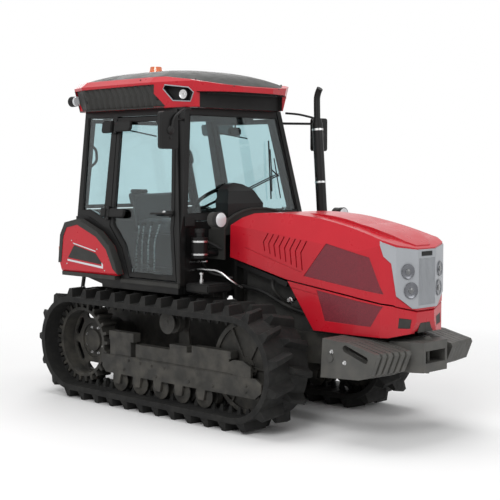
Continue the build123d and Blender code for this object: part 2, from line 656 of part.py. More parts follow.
def rear_knuckle(low_y, high_y, leaf_down):
    """A rear window hinge knuckle between two places across, with its leaf on the plane."""
    with BuildSketch(Plane.XZ.offset(-high_y)) as section:
        with Locations(rear_point(REAR_HINGE_DOWN, REAR_HINGE_OUT)):
            Circle(REAR_HINGE_R)
        with BuildLine():
            Polyline(rear_point(REAR_HINGE_DOWN, REAR_HINGE_OUT + REAR_HINGE_R - 1),
                     rear_point(leaf_down, 2), rear_point(leaf_down, -6),
                     rear_point((leaf_down + REAR_HINGE_DOWN) / 2, -6),
                     rear_point((leaf_down + REAR_HINGE_DOWN) / 2, 1),
                     rear_point(REAR_HINGE_DOWN, REAR_HINGE_OUT - REAR_HINGE_R + 1),
                     close=True)
        make_face()
    extrude(section.sketch, amount=high_y - low_y)


def rear_pin(low_y, high_y, radius, mode=Mode.ADD):
    """A bar on the rear window's hinge line."""
    x, z = rear_point(REAR_HINGE_DOWN, REAR_HINGE_OUT)
    rod_between((x, low_y, z), (x, high_y, z), radius, mode)


with BuildPart() as cab_frame:
    side_wall(side_outline, 0, CAB_WALL)
    side_wall(door_hole, -5, CAB_WALL + 5, Mode.SUBTRACT)
    side_wall(quarter_hole, -5, CAB_WALL + 5, Mode.SUBTRACT)
    for height in HINGE_HEIGHTS:
        for low, high in ((-KNUCKLE_END, -KNUCKLE_HALF - 1), (KNUCKLE_HALF + 1, KNUCKLE_END)):
            knuckle(height, low, high, -34)
        with BuildSketch(hinge_plane(height).offset(-KNUCKLE_END + 1)) as pin:
            Circle(HINGE_PIN_R)
        extrude(pin.sketch, amount=2 * KNUCKLE_END - 2)
    mirror(about=Plane.XZ)
    # Cross members: header rails at both ends of the roof, cowl rail and rear sill
    for plane, low, high in ((FRONT_PLANE, -48, -1), (REAR_PLANE, 4, 48)):
        half_top = CAB_TOP_HALF_WIDTH - CAB_WALL + 1
        pane(plane, [(-half_top, low), (half_top, low), (half_top, high), (-half_top, high)],
             4, 36)
    cowl_y = side_y(A_FOOT[1], CAB_WALL) + 1
    pane(FRONT_PLANE, [(-cowl_y, -front_rise.length - 30), (cowl_y, -front_rise.length - 30),
                       (cowl_y, -front_rise.length + 14), (-cowl_y, -front_rise.length + 14)],
         4, 36)
    sill_y = side_y(C_FOOT[1], CAB_WALL) + 1
    pane(REAR_PLANE, [(-sill_y, rear_fall.length - 44), (sill_y, rear_fall.length - 44),
                      (sill_y, rear_fall.length), (-sill_y, rear_fall.length)], 4, 36)
    for side in (-1, 1):
        for low, high in ((-34, -21), (21, 34)):
            rear_knuckle(side * REAR_HINGE_Y + low, side * REAR_HINGE_Y + high, 24)
        rear_pin(side * REAR_HINGE_Y - 33, side * REAR_HINGE_Y + 33, HINGE_PIN_R)
save(cab_frame, "cab_frame")

# Cab tub: floor with a raised rear deck, engine bulkhead, rear wall and the inner side walls
with BuildPart() as cab_tub:
    tub_y = CAB_HALF_WIDTH - CAB_WALL
    box_between((TUB_STEP_X, 60), (-tub_y, tub_y), (TUB_BOTTOM_Z, CAB_FLOOR_Z))
    box_between((TUB_STEP_X, TUB_STEP_X + 20), (-tub_y, tub_y), (TUB_BOTTOM_Z, REAR_DECK_Z + 20))
    box_between((REAR_WALL_X, TUB_STEP_X + 20), (-tub_y, tub_y), (REAR_DECK_Z, REAR_DECK_Z + 20))
    side_sheet([(55, TUB_BOTTOM_Z), (BULKHEAD_FOOT_X, TUB_BOTTOM_Z),
                (BULKHEAD_TOP_X, BULKHEAD_TOP_Z), (76, BULKHEAD_TOP_Z), (55, CAB_FLOOR_Z)],
               -BULKHEAD_Y, 2 * BULKHEAD_Y)
    box_between((REAR_WALL_X, REAR_WALL_X + 30), (-tub_y, tub_y), (REAR_DECK_Z, 1272))
    for near_y in (tub_y - TUB_WALL, -CAB_HALF_WIDTH):
        side_sheet([(REAR_WALL_X, REAR_DECK_Z), (TUB_STEP_X, REAR_DECK_Z),
                    (TUB_STEP_X + 15, TUB_BOTTOM_Z), (90, TUB_BOTTOM_Z), (90, SILL_Z - SEAT_GAP),
                    *[(x - SEAT_GAP, z - SEAT_GAP) for x, z in side_outline[3:7]],
                    (REAR_WALL_X, side_outline[6][1] - SEAT_GAP)], near_y,
                   CAB_HALF_WIDTH - tub_y + TUB_WALL)
save(cab_tub, "cab_tub")

# Glass fixed in the frame: windscreen and the two rear quarter panes
with BuildPart() as windscreen:
    low_y = side_y(A_FOOT[1], CAB_WALL) - 2.5
    high_y = side_y(CAB_TOP_Z - 48, CAB_WALL) - 1.5
    pane(FRONT_PLANE, [(-low_y, -front_rise.length + 14), (low_y, -front_rise.length + 14),
                       (high_y, -48.3), (-high_y, -48.3)], 14, GLASS_THICKNESS)
save(windscreen, "windscreen")

with BuildPart() as quarter_glass_right:
    side_wall(inset(quarter_hole, 0.3), GLASS_INSET, GLASS_INSET + GLASS_THICKNESS)
save_both(quarter_glass_right, "quarter_glass")

# Doors: a frame hung on the B pillar, flush with the cab's side, with one pane
with BuildPart() as door_right:
    side_wall(door_outline, 0, DOOR_DEPTH)
    side_wall(door_window, -5, CAB_WALL, Mode.SUBTRACT)
    for height in HINGE_HEIGHTS:
        knuckle(height, -KNUCKLE_HALF, KNUCKLE_HALF, 44)
        with BuildSketch(hinge_plane(height).offset(-KNUCKLE_END)) as pin:
            Circle(HINGE_PIN_R + 0.3)
        extrude(pin.sketch, amount=2 * KNUCKLE_END, mode=Mode.SUBTRACT)
save_pair(door_right, "door")

with BuildPart() as door_glass_right:
    side_wall(inset(door_window, 0.3), GLASS_INSET, GLASS_INSET + GLASS_THICKNESS)
save_pair(door_glass_right, "door_glass")

# Rear window: framed pane hung from the rear header
rear_outline = [(-side_y(CAB_TOP_Z, CAB_WALL) + 2, 54), (side_y(CAB_TOP_Z, CAB_WALL) - 2, 54),
                (side_y(C_FOOT[1], CAB_WALL) - 12, rear_fall.length - 52),
                (-side_y(C_FOOT[1], CAB_WALL) + 12, rear_fall.length - 52)]
with BuildPart() as rear_window:
    pane(REAR_PLANE, rear_outline, 2, REAR_FRAME_DEPTH)
    pane(REAR_PLANE, inset(rear_outline, REAR_RAIL), -5, 60, Mode.SUBTRACT)
    for side in (-1, 1):
        rear_knuckle(side * REAR_HINGE_Y - 20, side * REAR_HINGE_Y + 20, 74)
        rear_pin(side * REAR_HINGE_Y - 25, side * REAR_HINGE_Y + 25, HINGE_PIN_R + 0.3,
                 Mode.SUBTRACT)
save(rear_window, "rear_window")

with BuildPart() as rear_glass:
    pane(REAR_PLANE, inset(rear_outline, REAR_RAIL + 0.3), GLASS_INSET, GLASS_THICKNESS)
save(rear_glass, "rear_glass")

# Fenders: a bulged box over each track's rear, outside the cab's inner wall
fender_outline = [(-1140, 912), (-1165, 974), (-1140, 1180), (-1085, 1270), (-930, 1300),
                  (-700, 1215), (-575, 1120), (-512, 1000), (-482, 925), (-512, 912)]
with BuildPart() as fender_right:
    side_sheet(fender_outline, CAB_HALF_WIDTH, FENDER_Y - CAB_HALF_WIDTH)
    chamfer(fender_right.faces().sort_by(Axis.Y)[0].edges(), length=16)
save_both(fender_right, "fenders")

# Rails that carry the fenders, along the cab's inner wall
with BuildPart() as fender_rail:
    box_between((-1130, -520), (-FENDER_Y + 6, -CAB_HALF_WIDTH), (884, 912))
save_both(fender_rail, "fender_rails")

# Roof: a red shell with chamfered corners, lamp corners in front and a hollow underside
roof_corners = [(0, 190), (73, 60), (238, 0), (998, 0), (1338, 90), (1453, 230), (1500, 410)]
roof_plan = [(ROOF_REAR_X + along, inward - ROOF_HALF_WIDTH) for along, inward in roof_corners]
roof_plan += [(x, -y) for x, y in reversed(roof_plan)]
RIM_Z = ROOF_BAND_Z + ROOF_RIM
BAND_HEIGHT = ROOF_BAND_Z - ROOF_LOW_Z
flute_panel = [(ROOF_REAR_X + 80, ROOF_LOW_Z + 8), (ROOF_REAR_X + 1088, ROOF_LOW_Z + 8),
               (ROOF_REAR_X + 1013, ROOF_LOW_Z + 96), (ROOF_REAR_X + 1028, ROOF_BAND_Z - 14),
               (ROOF_REAR_X + 80, ROOF_BAND_Z - 20)]

# Front corner faces: the lamp recess, as distance along the face and height above the roof's foot
corner_start = Vector(*roof_plan[3])
corner_face = Plane(origin=(corner_start.X, corner_start.Y, ROOF_LOW_Z),
                    x_dir=Vector(*roof_plan[4]) - corner_start, z_dir=Vector(
                        roof_plan[4][1] - corner_start.Y, corner_start.X - roof_plan[4][0]))
roof_section = [(-1300, ROOF_LOW_Z), (300, ROOF_LOW_Z), (300, RIM_Z - 102), (245, RIM_Z - 70),
                (60, RIM_Z - 30), (-160, RIM_Z - 2), (-1100, RIM_Z - 2), (-1300, RIM_Z - 30)]
lamp_recess = [(105, 126), (120, 150), (305, 128), (340, 96), (308, 39), (170, 48)]
ROOF_LAMP_AT = (251, 86)


def raised_plan(plan, base, height, taper):
    """A plan outline raised from a plane, leaning in at a taper."""
    with BuildSketch(base) as sheet:
        with BuildLine():
            Polyline(*plan, close=True)
        make_face()
    extrude(sheet.sketch, amount=height, taper=taper)


def roof_body(plan):
    """The roof's block: leaning in below its widest level and chamfered above it."""
    downwards = Plane(origin=(0, 0, ROOF_BAND_Z), x_dir=(1, 0, 0), z_dir=(0, 0, -1))
    raised_plan(plan, downwards, BAND_HEIGHT, ROOF_TAPER)
    raised_plan(plan, Plane.XY.offset(ROOF_BAND_Z), ROOF_RIM, ROOF_RIM_TAPER)


with BuildPart(mode=Mode.PRIVATE) as roof_cuts:
    side_sheet(flute_panel, RECESS_Y, 130)
    with BuildSketch(corner_face.offset(-LAMP_RECESS)) as recess:
        with BuildLine():
            Polyline(*lamp_recess, close=True)
        make_face()
    extrude(recess.sketch, amount=LAMP_RECESS + 40)
    mirror(about=Plane.XZ)
    # Recess below the visor, over the windscreen
    plan_sheet([(62, -398), (96, -408), (114, -700), (320, -700), (320, 700), (114, 700),
                (96, 408), (62, 398)], ROOF_LOW_Z - 10, 112)

with BuildPart() as roof_shell:
    roof_body(roof_plan)
    side_sheet(roof_section, -700, 1400, mode=Mode.INTERSECT)
    plan_sheet([(-820, -400), (-60, -400), (-60, 400), (-820, 400)], ROOF_LOW_Z, 60,
               mode=Mode.SUBTRACT)
    add(roof_cuts.part, mode=Mode.SUBTRACT)
save(roof_shell, "roof_shell")

# Fluted panels in the roof's sides, each flute kinked back half way up
with BuildPart() as roof_side:
    roof_body(inset(roof_plan, FLUTE_SINK))
    side_sheet(inset(flute_panel, SEAT_GAP), RECESS_Y + SEAT_GAP, 130, mode=Mode.INTERSECT)
    flute_top_y = -ROOF_HALF_WIDTH + FLUTE_SINK - FLUTE_R + FLUTE_DEPTH
    flute_lean = BAND_HEIGHT * tan(radians(ROOF_TAPER))
    for number in range(FLUTE_COUNT):
        flute_x = ROOF_REAR_X + 235 + number * FLUTE_PITCH
        kink = (flute_x, flute_top_y + flute_lean / 2, ROOF_LOW_Z + BAND_HEIGHT / 2)
        for end in ((flute_x, flute_top_y + flute_lean, ROOF_LOW_Z),
                    (flute_x - 34, flute_top_y, ROOF_BAND_Z)):
            rod_between(kink, end, FLUTE_R, mode=Mode.SUBTRACT)
save_both(roof_side, "roof_sides")

with BuildPart() as roof_top:
    raised_plan(inset(roof_plan, 54), Plane.XY.offset(RIM_Z - 90), 86, 0)
    raised_plan(inset(roof_plan, 54), Plane.XY.offset(RIM_Z - 4), 88, 55)
    with BuildSketch(Plane.XZ.offset(-700)) as crown:
        with BuildLine():
            Polyline((250, RIM_Z - 150), (250, RIM_Z - 78), (147, ROOF_CROWN_Z - 93))
            ThreePointArc((147, ROOF_CROWN_Z - 93), (-140, ROOF_CROWN_Z - 27),
                          (-450, ROOF_CROWN_Z))
            Polyline((-450, ROOF_CROWN_Z), (-850, ROOF_CROWN_Z))
            ThreePointArc((-850, ROOF_CROWN_Z), (-1020, ROOF_CROWN_Z - 12),
                          (-1150, ROOF_CROWN_Z - 42))
            Polyline((-1150, ROOF_CROWN_Z - 42), (-1215, RIM_Z - 8), (-1215, RIM_Z - 150),
                     (250, RIM_Z - 150))
        make_face()
    extrude(crown.sketch, amount=1400, mode=Mode.INTERSECT)
    side_sheet(roof_section, -700, 1400, mode=Mode.SUBTRACT)
save(roof_top, "roof_top")

with BuildPart() as beacon:
    with Locations((BEACON_X, 0, BEACON_BASE_Z)):
        Cylinder(62, 14, align=(Align.CENTER, Align.CENTER, Align.MIN))
        Cone(54, 44, OVERALL_HEIGHT - BEACON_BASE_Z,
             align=(Align.CENTER, Align.CENTER, Align.MIN))
    add(roof_top.part, mode=Mode.SUBTRACT)
save(beacon, "beacon")

# Hood: a red shell open below and behind, with leaning flanks and swept nose facets


def along_hood(outline):
    """Fits an outline drawn for the nose at DRAWN_NOSE_X to the hood's real length."""
    return [(HOOD_REAR_X + (x - HOOD_REAR_X) * HOOD_STRETCH, other) for x, other in outline]


# The side's fold line runs down towards the nose, and the flank leans in above it
FOLD_REAR = (*along_hood([(420, 0)])[0][:1], -HOOD_HALF_WIDTH, 1270)
FOLD_FRONT = (*along_hood([(1565, 0)])[0][:1], -HOOD_HALF_WIDTH, 1135)
SHOULDER = (*along_hood([(700, 0)])[0][:1], -262, 1369)
hood_plan = along_hood([(200, -302), (1380, -302), (1540, -284), (1625, -236), (1674, -90)])
hood_plan += [(x, -y) for x, y in reversed(hood_plan)]
hood_foot = along_hood([(1674, 800), (1614, 841), (1320, 884), (789, 949), (275, 1067)])
hood_back = along_hood([(275, 1067), (281, 1282), (377, 1336), (476, 1366)])
# Crown line from the rear to the nose: start, middle and end of each arc
crown_arcs = [along_hood(arc) for arc in (
    [(476, 1366), (760, 1371), (1042, 1346)], [(1042, 1346), (1290, 1300), (1516, 1240)],
    [(1516, 1240), (1605, 1212), (1674, 1178)])]
bulge_arcs = [along_hood(arc) for arc in (
    [(760, 1366), (1050, 1362), (1290, 1316)], [(1290, 1316), (1500, 1264), (1662, 1190)])]
# The space inside runs out through the open rear and underside
space_outline = along_hood([(145, 900), (789, 840), (1614, 700), (1660, 700), (1660, 1156),
                            (1516, 1222), (1290, 1282), (1042, 1330), (760, 1354), (476, 1350),
                            (377, 1322), (145, 1260)])
upper_window = along_hood([(1127, 1195), (1464, 1124), (1560, 905), (941, 980)])
lower_window = along_hood([(1047, 897), (1556, 830), (1475, 702), (1117, 709)])
shield_outline = along_hood([(1536, 1226), (1561, 1135), (1603, 1092), (1630, 896),
                             (1668, 814), (1700, 814), (1700, 1166), (1674, 1172)])


def plan_form(depth, low_z, height):
    """The nose's plan, moved inwards by a depth and raised."""
    with BuildSketch(Plane.XY.offset(low_z)) as plan:
        with BuildLine():
            Polyline(*hood_plan, close=True)
        make_face()
        if depth:
            offset(amount=-depth, kind=Kind.INTERSECTION)
    extrude(plan.sketch, amount=height)


def flank_cuts(depth):
    """Cuts both flanks back to their leaning planes, moved inwards by a depth."""
    for side in (1, -1):
        rear, front, shoulder = (Vector(x, side * y, z)
                                 for x, y, z in (FOLD_REAR, FOLD_FRONT, SHOULDER))
        outward = (front - rear).cross(shoulder - rear) * side
        plane = Plane(origin=rear, x_dir=front - rear, z_dir=outward)
        with Locations(plane.offset(-depth)):
            Box(4000, 800, 300, align=(Align.CENTER, Align.CENTER, Align.MIN),
                mode=Mode.SUBTRACT)


def hood_layer(outline, outer, inner):
    """A sheet that follows the hood's skin between two depths, inside an X-Z outline."""
    with BuildPart(mode=Mode.PRIVATE) as inside:
        plan_form(inner, 600, 900)
        flank_cuts(inner)
    plan_form(outer, 600, 900)
    flank_cuts(outer)
    add(inside.part, mode=Mode.SUBTRACT)
    side_sheet(outline, -400, 800, mode=Mode.INTERSECT)


def louvre(number):
    """One kinked slit in the hood's side: top, kink and bottom in X and Z."""
    share = number / (LOUVRE_COUNT - 1)
    line = [(629 + 337 * share, 1240 - 37 * share), (587 + 330 * share, 1181 - 54 * share),
            (600 + 329 * share, 1122 - 106 * share)]
    line = along_hood(line)
    half = LOUVRE_WIDTH / 2
    return [(x - half, z) for x, z in line] + [(x + half, z) for x, z in reversed(line)]


with BuildPart(mode=Mode.PRIVATE) as bulge:
    plan_sheet(along_hood([(790, -90), (1000, -150), (1450, -165), (1600, -120), (1650, -70),
                           (1650, 70), (1600, 120), (1450, 165), (1000, 150), (790, 90)]),
               1100, 300)
    with BuildSketch(Plane.XZ.offset(-400)) as profile:
        with BuildLine():
            for start, middle, end in bulge_arcs:
                ThreePointArc(start, middle, end)
            Polyline(bulge_arcs[-1][2], (bulge_arcs[-1][2][0], 1120), (bulge_arcs[0][0][0], 1120),
                     bulge_arcs[0][0])
        make_face()
    extrude(profile.sketch, amount=800, mode=Mode.INTERSECT)

with BuildPart(mode=Mode.PRIVATE) as hood_space:
    plan_form(HOOD_SKIN, 600, 900)
    flank_cuts(HOOD_SKIN)
    side_sheet(space_outline, -400, 800, mode=Mode.INTERSECT)

# The nose's right facet, as a plane that starts at the facet's rear edge
facet_rear, facet_front = Vector(*hood_plan[3]), Vector(*hood_plan[4])
facet = facet_front - facet_rear
FACET_PLANE = Plane(origin=(facet_rear.X, facet_rear.Y, 0), x_dir=facet,
                    z_dir=Vector(-facet.Y, facet.X) * -1)
# Headlamps on each facet: share of the way across it, height and radius
headlamps = [(0.52, 1042, 43), (0.67, 926, 46)]


def headlamp_rods(start, end, slack):
    """Bars on the headlamps' axes between two places out from the facet."""
    for share, z, radius in headlamps:
        with BuildSketch(FACET_PLANE.offset(start)) as lamp:
            with Locations((facet.length * share, z)):
                Circle(radius + slack)
        extrude(lamp.sketch, amount=end - start)


with BuildPart(mode=Mode.PRIVATE) as lamp_seats:
    headlamp_rods(-HEADLAMP_SEAT, 40, SEAT_GAP)
    mirror(about=Plane.XZ)

# Openings in the bumper: the middle one and one on each facet
with BuildPart(mode=Mode.PRIVATE) as inlets:
    with BuildSketch(FACET_PLANE.offset(-8)) as inlet:
        with BuildLine():
            Polyline((26, 762), (118, 748), (108, 692), (18, 700), close=True)
        make_face()
    extrude(inlet.sketch, amount=40)
    mirror(about=Plane.XZ)
    with BuildSketch(Plane.YZ.offset(NOSE_X - 8)) as inlet:
        with BuildLine():
            Polyline((-48, 722), (48, 722), (78, 662), (-78, 662), close=True)
        make_face()
    extrude(inlet.sketch, amount=40)

with BuildPart() as hood:
    plan_form(0, 600, 900)
    flank_cuts(0)
    with BuildSketch(Plane.XZ.offset(-400)) as profile:
        with BuildLine():
            Polyline(*hood_foot)
            Polyline(*hood_back)
            for start, middle, end in crown_arcs:
                ThreePointArc(start, middle, end)
            Line(crown_arcs[-1][2], hood_foot[0])
        make_face()
    extrude(profile.sketch, amount=800, mode=Mode.INTERSECT)
    add(bulge.part)
    add(hood_space.part, mode=Mode.SUBTRACT)
    side_sheet(upper_window, -400, 800, mode=Mode.SUBTRACT)
    for number in range(LOUVRE_COUNT):
        side_sheet(louvre(number), -400, 800, mode=Mode.SUBTRACT)
    # Crease that runs below the louvres to the window's corner, on both sides
    for near_y in (HOOD_HALF_WIDTH - 3, -HOOD_HALF_WIDTH - 17):
        side_sheet(along_hood([(420, 1139), (925, 1003), (925, 997), (420, 1133)]), near_y, 20,
                   mode=Mode.SUBTRACT)
    for side in (-1, 1):
        side_sheet([(HOOD_HINGE_X - 13, HOOD_HINGE_Z - 12), (HOOD_HINGE_X + 13, HOOD_HINGE_Z - 12),
                    (HOOD_HINGE_X + 40, HOOD_HINGE_Z + 40), (HOOD_HINGE_X - 13, HOOD_HINGE_Z + 18)],
                   side * 151 - 5, 10)
    rod_between((HOOD_HINGE_X, -190, HOOD_HINGE_Z), (HOOD_HINGE_X, 190, HOOD_HINGE_Z), 6.3,
                mode=Mode.SUBTRACT)
    add(lamp_seats.part, mode=Mode.SUBTRACT)
save(hood, "hood")

# Screens in the windows of the hood and of the cowl, just below the skin
with BuildPart() as hood_screens:
    hood_layer(inset(upper_window, SEAT_GAP), SCREEN_SINK, SCREEN_SINK + SCREEN_THICKNESS)
save(hood_screens, "hood_screens")

with BuildPart() as cowl_screens:
    hood_layer(inset(lower_window, SEAT_GAP), SCREEN_SINK + 2, SCREEN_SINK + 2 + SCREEN_THICKNESS)
save(cowl_screens, "cowl_screens")

# Nose shield: a silver sheet over the nose and its facets, ribbed in the middle
with BuildPart() as nose_grille:
    hood_layer(shield_outline, -SHIELD_PROUD, -SEAT_GAP)
    for row in range(14):
        box_between((NOSE_X + SHIELD_PROUD - 3, NOSE_X + 20), (-80 + 12 * row, -75 + 12 * row),
                    (832, 1118), Mode.SUBTRACT)
    box_between((NOSE_X + 1, NOSE_X + 20), (-56, 56), (1130, 1160), Mode.SUBTRACT)
    add(lamp_seats.part, mode=Mode.SUBTRACT)
save(nose_grille, "nose_grille")

with BuildPart() as head_lamps:
    headlamp_rods(-HEADLAMP_SEAT + SEAT_GAP, SHIELD_PROUD + 3, 0)
    fillet(head_lamps.faces().sort_by(lambda face: face.center().dot(FACET_PLANE.z_dir))[-2:]
           .edges(), radius=6)
    mirror(about=Plane.XZ)
save(head_lamps, "head_lamps")

# Arch behind the engine: carries the hood's hinge pins and the rails below the hood
with BuildPart() as hood_arch:
    with BuildSketch(Plane.YZ.offset(ARCH_X)):
        with BuildLine():
            Polyline((-272, 530), (-272, 1145), (-215, 1208), (215, 1208), (272, 1145),
                     (272, 530), (CRADLE_Y, 530), (CRADLE_Y, 1150), (-CRADLE_Y, 1150),
                     (-CRADLE_Y, 530), close=True)
        make_face()
    extrude(amount=20)
    for side in (-1, 1):
        side_sheet([(ARCH_X, 1158), (ARCH_X + 50, 1158), (HOOD_HINGE_X + 11, HOOD_HINGE_Z - 40),
                    (HOOD_HINGE_X + 11, HOOD_HINGE_Z + 4), (HOOD_HINGE_X, HOOD_HINGE_Z + 11),
                    (HOOD_HINGE_X - 11, HOOD_HINGE_Z + 4), (HOOD_HINGE_X - 14, 1288),
                    (HOOD_HINGE_X - 28, 1222), (ARCH_X + 40, 1206), (ARCH_X, 1206)],
                   side * 138 - 5, 10)
        rod_between((HOOD_HINGE_X, side * 134, HOOD_HINGE_Z),
                    (HOOD_HINGE_X, side * 166, HOOD_HINGE_Z), 6)
        side_sheet(along_hood([(300, 1008), (300, 1042), (770, 928), (760, 896)]),
                   side * 256 - 9, 18)
save(hood_arch, "hood_arch")


def scuttle_section(depth):
    """Half-round outline behind the hood, in Y and Z, moved inwards by a depth."""
    half = [(342, SCUTTLE_LOW_Z), (342, 1255), (300, 1322), (238, 1354), (150, 1382),
            (60, SCUTTLE_CREST_Z)]
    outline = half + [(-y, z) for y, z in reversed(half)]
    return inset(outline, depth) if depth else outline


# Scuttle between the hood and the cab: an arched cover with the two side lamps on arms
with BuildPart() as scuttle:
    for depth, mode in ((0, Mode.ADD), (SCUTTLE_SKIN, Mode.SUBTRACT)):
        with BuildSketch(Plane.YZ.offset(SCUTTLE_REAR_X)) as section:
            with BuildLine():
                Polyline(*scuttle_section(depth), close=True)
            make_face()
        extrude(section.sketch, amount=SCUTTLE_FRONT_X - SCUTTLE_REAR_X, mode=mode)
    # Front wall that closes the arch above the engine's rear
    with BuildPart(mode=Mode.PRIVATE) as front_wall:
        with BuildSketch(Plane.YZ.offset(SCUTTLE_FRONT_X - 22)):
            with BuildLine():
                Polyline(*scuttle_section(SCUTTLE_SKIN - 1), close=True)
            make_face()
        extrude(amount=10)
        box_between((SCUTTLE_REAR_X, SCUTTLE_FRONT_X), (-400, 400), (1215, 1500), Mode.INTERSECT)
    add(front_wall.part)
    plan_sheet([(SCUTTLE_REAR_X - 9, -330.5), (SCUTTLE_FRONT_X + 9, -330.5),
                (SCUTTLE_FRONT_X + 9, 330.5), (SCUTTLE_REAR_X - 9, 330.5)],
               SCUTTLE_LOW_Z - 5, 17.1, mode=Mode.SUBTRACT)
    for side in (-1, 1):
        side_sheet([(102.6, SCUTTLE_LOW_Z), (SCUTTLE_REAR_X + 20, SCUTTLE_LOW_Z),
                    (SCUTTLE_REAR_X + 20, 1250), (108.8, 1250)], side * 336 - 6, 12)
        rod_between((200, side * 304, 1300), (SIDE_LAMP_X - 68, side * SIDE_LAMP_Y, SIDE_LAMP_Z),
                    11)
        rod_between((SIDE_LAMP_X - 75, side * SIDE_LAMP_Y, SIDE_LAMP_Z),
                    (SIDE_LAMP_X, side * SIDE_LAMP_Y, SIDE_LAMP_Z), SIDE_LAMP_R)
    fillet(scuttle.faces().sort_by(Axis.X)[-2:].edges(), radius=8)
save(scuttle, "scuttle")

# Wiper cowl: a black hump on the scuttle, against the foot of the windscreen
wiper_hump = [(-283, 1331.2), (-283, 1429), (-238, 1526), (-185, 1557), (-131, 1566),
              (-66, 1556), (-5, 1523), (59, 1422), (59, 1395.3), (-60, 1395.3),
              (-150, 1382.3), (-238, 1354.3)]
with BuildPart() as wiper_cowl:
    with BuildSketch(Plane.YZ.offset(90)):
        with BuildLine():
            Polyline(*wiper_hump, close=True)
        make_face()
    extrude(amount=160)
    side_sheet([(128.5, 1320), (116, 1426), (96, 1570), (140, 1566), (205, 1510), (238, 1426),
                (240, 1320)], -100, 400, mode=Mode.INTERSECT)
save(wiper_cowl, "wiper_cowl")

# Lower cowl: side panels and front bumper in one, open above and behind
COWL_SKIN = 12
with BuildPart() as lower_cowl:
    cowl_side = along_hood([(799, 939), (1320, 874), (1614, 831), (1674, 788), (1674, 740),
                            (1658, 660), (1584, 640), (1023, 640)])
    hood_layer(cowl_side, 2, 2 + COWL_SKIN)
    side_sheet(lower_window, -400, 800, mode=Mode.SUBTRACT)
    for near_y in (HOOD_HALF_WIDTH - 5, -HOOD_HALF_WIDTH - 15):
        # Crease below the split line, and the seam between side panel and bumper
        for crease in ([(815, 903), (1530, 806), (1530, 800), (818, 897)],
                       [(1530, 806), (1536, 806), (1500, 645), (1494, 645)]):
            side_sheet(along_hood(crease), near_y, 20, mode=Mode.SUBTRACT)
    add(inlets.part, mode=Mode.SUBTRACT)
    for side in (-1, 1):
        box_between((1120, 1160), (side * 240 - 49.7, side * 240 + 49.7), (645, 685))
save(lower_cowl, "lower_cowl")

# Exhaust on the left: elbow from the engine, silencer guard and bent tail pipe
with BuildPart() as exhaust:
    rod_between((EXHAUST_X, ENGINE_HALF_WIDTH + 0.3, 930), (EXHAUST_X, EXHAUST_Y, 930), 32)
    rod_between((EXHAUST_X, EXHAUST_Y, 900), (EXHAUST_X, EXHAUST_Y, 1150), 45)
    rod_between((EXHAUST_X, EXHAUST_Y, 1100), (EXHAUST_X - 66, EXHAUST_Y, 1985), 37)
    rod_between((EXHAUST_X - 65, EXHAUST_Y, 1975), (EXHAUST_X - 67, EXHAUST_Y, 2015), 31)
    with BuildLine() as tail:
        Polyline((EXHAUST_X - 67, EXHAUST_Y, 2010), (EXHAUST_X - 70, EXHAUST_Y, 2140))
        TangentArc((EXHAUST_X - 70, EXHAUST_Y, 2140), (EXHAUST_X - 42, EXHAUST_Y, 2225),
                   tangent=(-0.02, 0, 1))
    with BuildSketch(Plane(origin=tail.line @ 0, z_dir=tail.line % 0)):
        Circle(23)
    sweep(path=tail.line)
save(exhaust, "exhaust")

# Mirrors on arms from the roof's front corners
with BuildPart() as mirror_right:
    rod_between((MIRROR_ARM_X, -side_y(MIRROR_ARM_Z) - 4.8, MIRROR_ARM_Z),
                (MIRROR_AT[0], MIRROR_AT[1], MIRROR_ARM_Z), 9)
    with BuildSketch(Plane(origin=MIRROR_AT, x_dir=(0, 1, 0), z_dir=(1, 0, 0))):
        RectangleRounded(140, 245, 22)
    extrude(amount=24, both=True, taper=4)
save_both(mirror_right, "mirrors")

# Seat: suspension base, cushion and back
with BuildPart() as seat_base:
    box_between((-705, -440), (-170, 170), (CAB_FLOOR_Z, CAB_FLOOR_Z + 60))
    box_between((-705, -460), (-140, 140), (CAB_FLOOR_Z + 50, 1170))
    box_between((-840, -420), (-215, 215), (1160, 1190))
    side_sheet([(-900, 1160), (-830, 1160), (-870, 1400), (-930, 1400)], -60, 120)
save(seat_base, "seat_base")

with BuildPart() as seat_cushion:
    box_between((-810, -390), (-225, 225), (1190.3, 1285))
    fillet(seat_cushion.edges().filter_by(Axis.Y) + seat_cushion.edges().filter_by(Axis.Z),
           radius=30)
save(seat_cushion, "seat_cushion")

with BuildPart() as seat_back:
    side_sheet([(-829.7, 1200), (-813, 1289), (-800, 1300), (-824, 1440), (-850, 1484),
                (-896, 1490), (-916, 1470), (-893, 1401), (-869.7, 1401)], -210, 420)
save(seat_back, "seat_back")

# Dash: console between the feet, cowl in front of the wheel and the steering column
with BuildPart() as dash_console:
    side_sheet([(-20, CAB_FLOOR_Z), (54.7, CAB_FLOOR_Z), (75.7, 1306), (72, 1350), (30, 1400),
                (-30, 1390), (-74, 1330), (-40, 1250)], -150, 300)
    rod_between(Vector(STEER_HUB) - Vector(STEER_DIRECTION) * 120, STEER_HUB, 30)
save(dash_console, "dash_console")

with BuildPart() as steering_wheel:
    wheel_plane = Plane(origin=STEER_HUB, x_dir=(0, 1, 0), z_dir=STEER_DIRECTION)
    with BuildSketch(Plane(origin=STEER_HUB, x_dir=wheel_plane.x_dir,
                           z_dir=wheel_plane.y_dir)) as rim:
        with Locations((STEER_R, -34)):
            Circle(13)
    revolve(rim.sketch, axis=Axis(STEER_HUB, STEER_DIRECTION))
    with BuildSketch(wheel_plane.offset(1)) as hub:
        Circle(36)
    extrude(hub.sketch, amount=36)
    with BuildSketch(wheel_plane.offset(25)) as spokes:
        with PolarLocations(STEER_R / 2, 3):
            Rectangle(STEER_R, 24)
    extrude(spokes.sketch, amount=10)
save(steering_wheel, "steering_wheel")

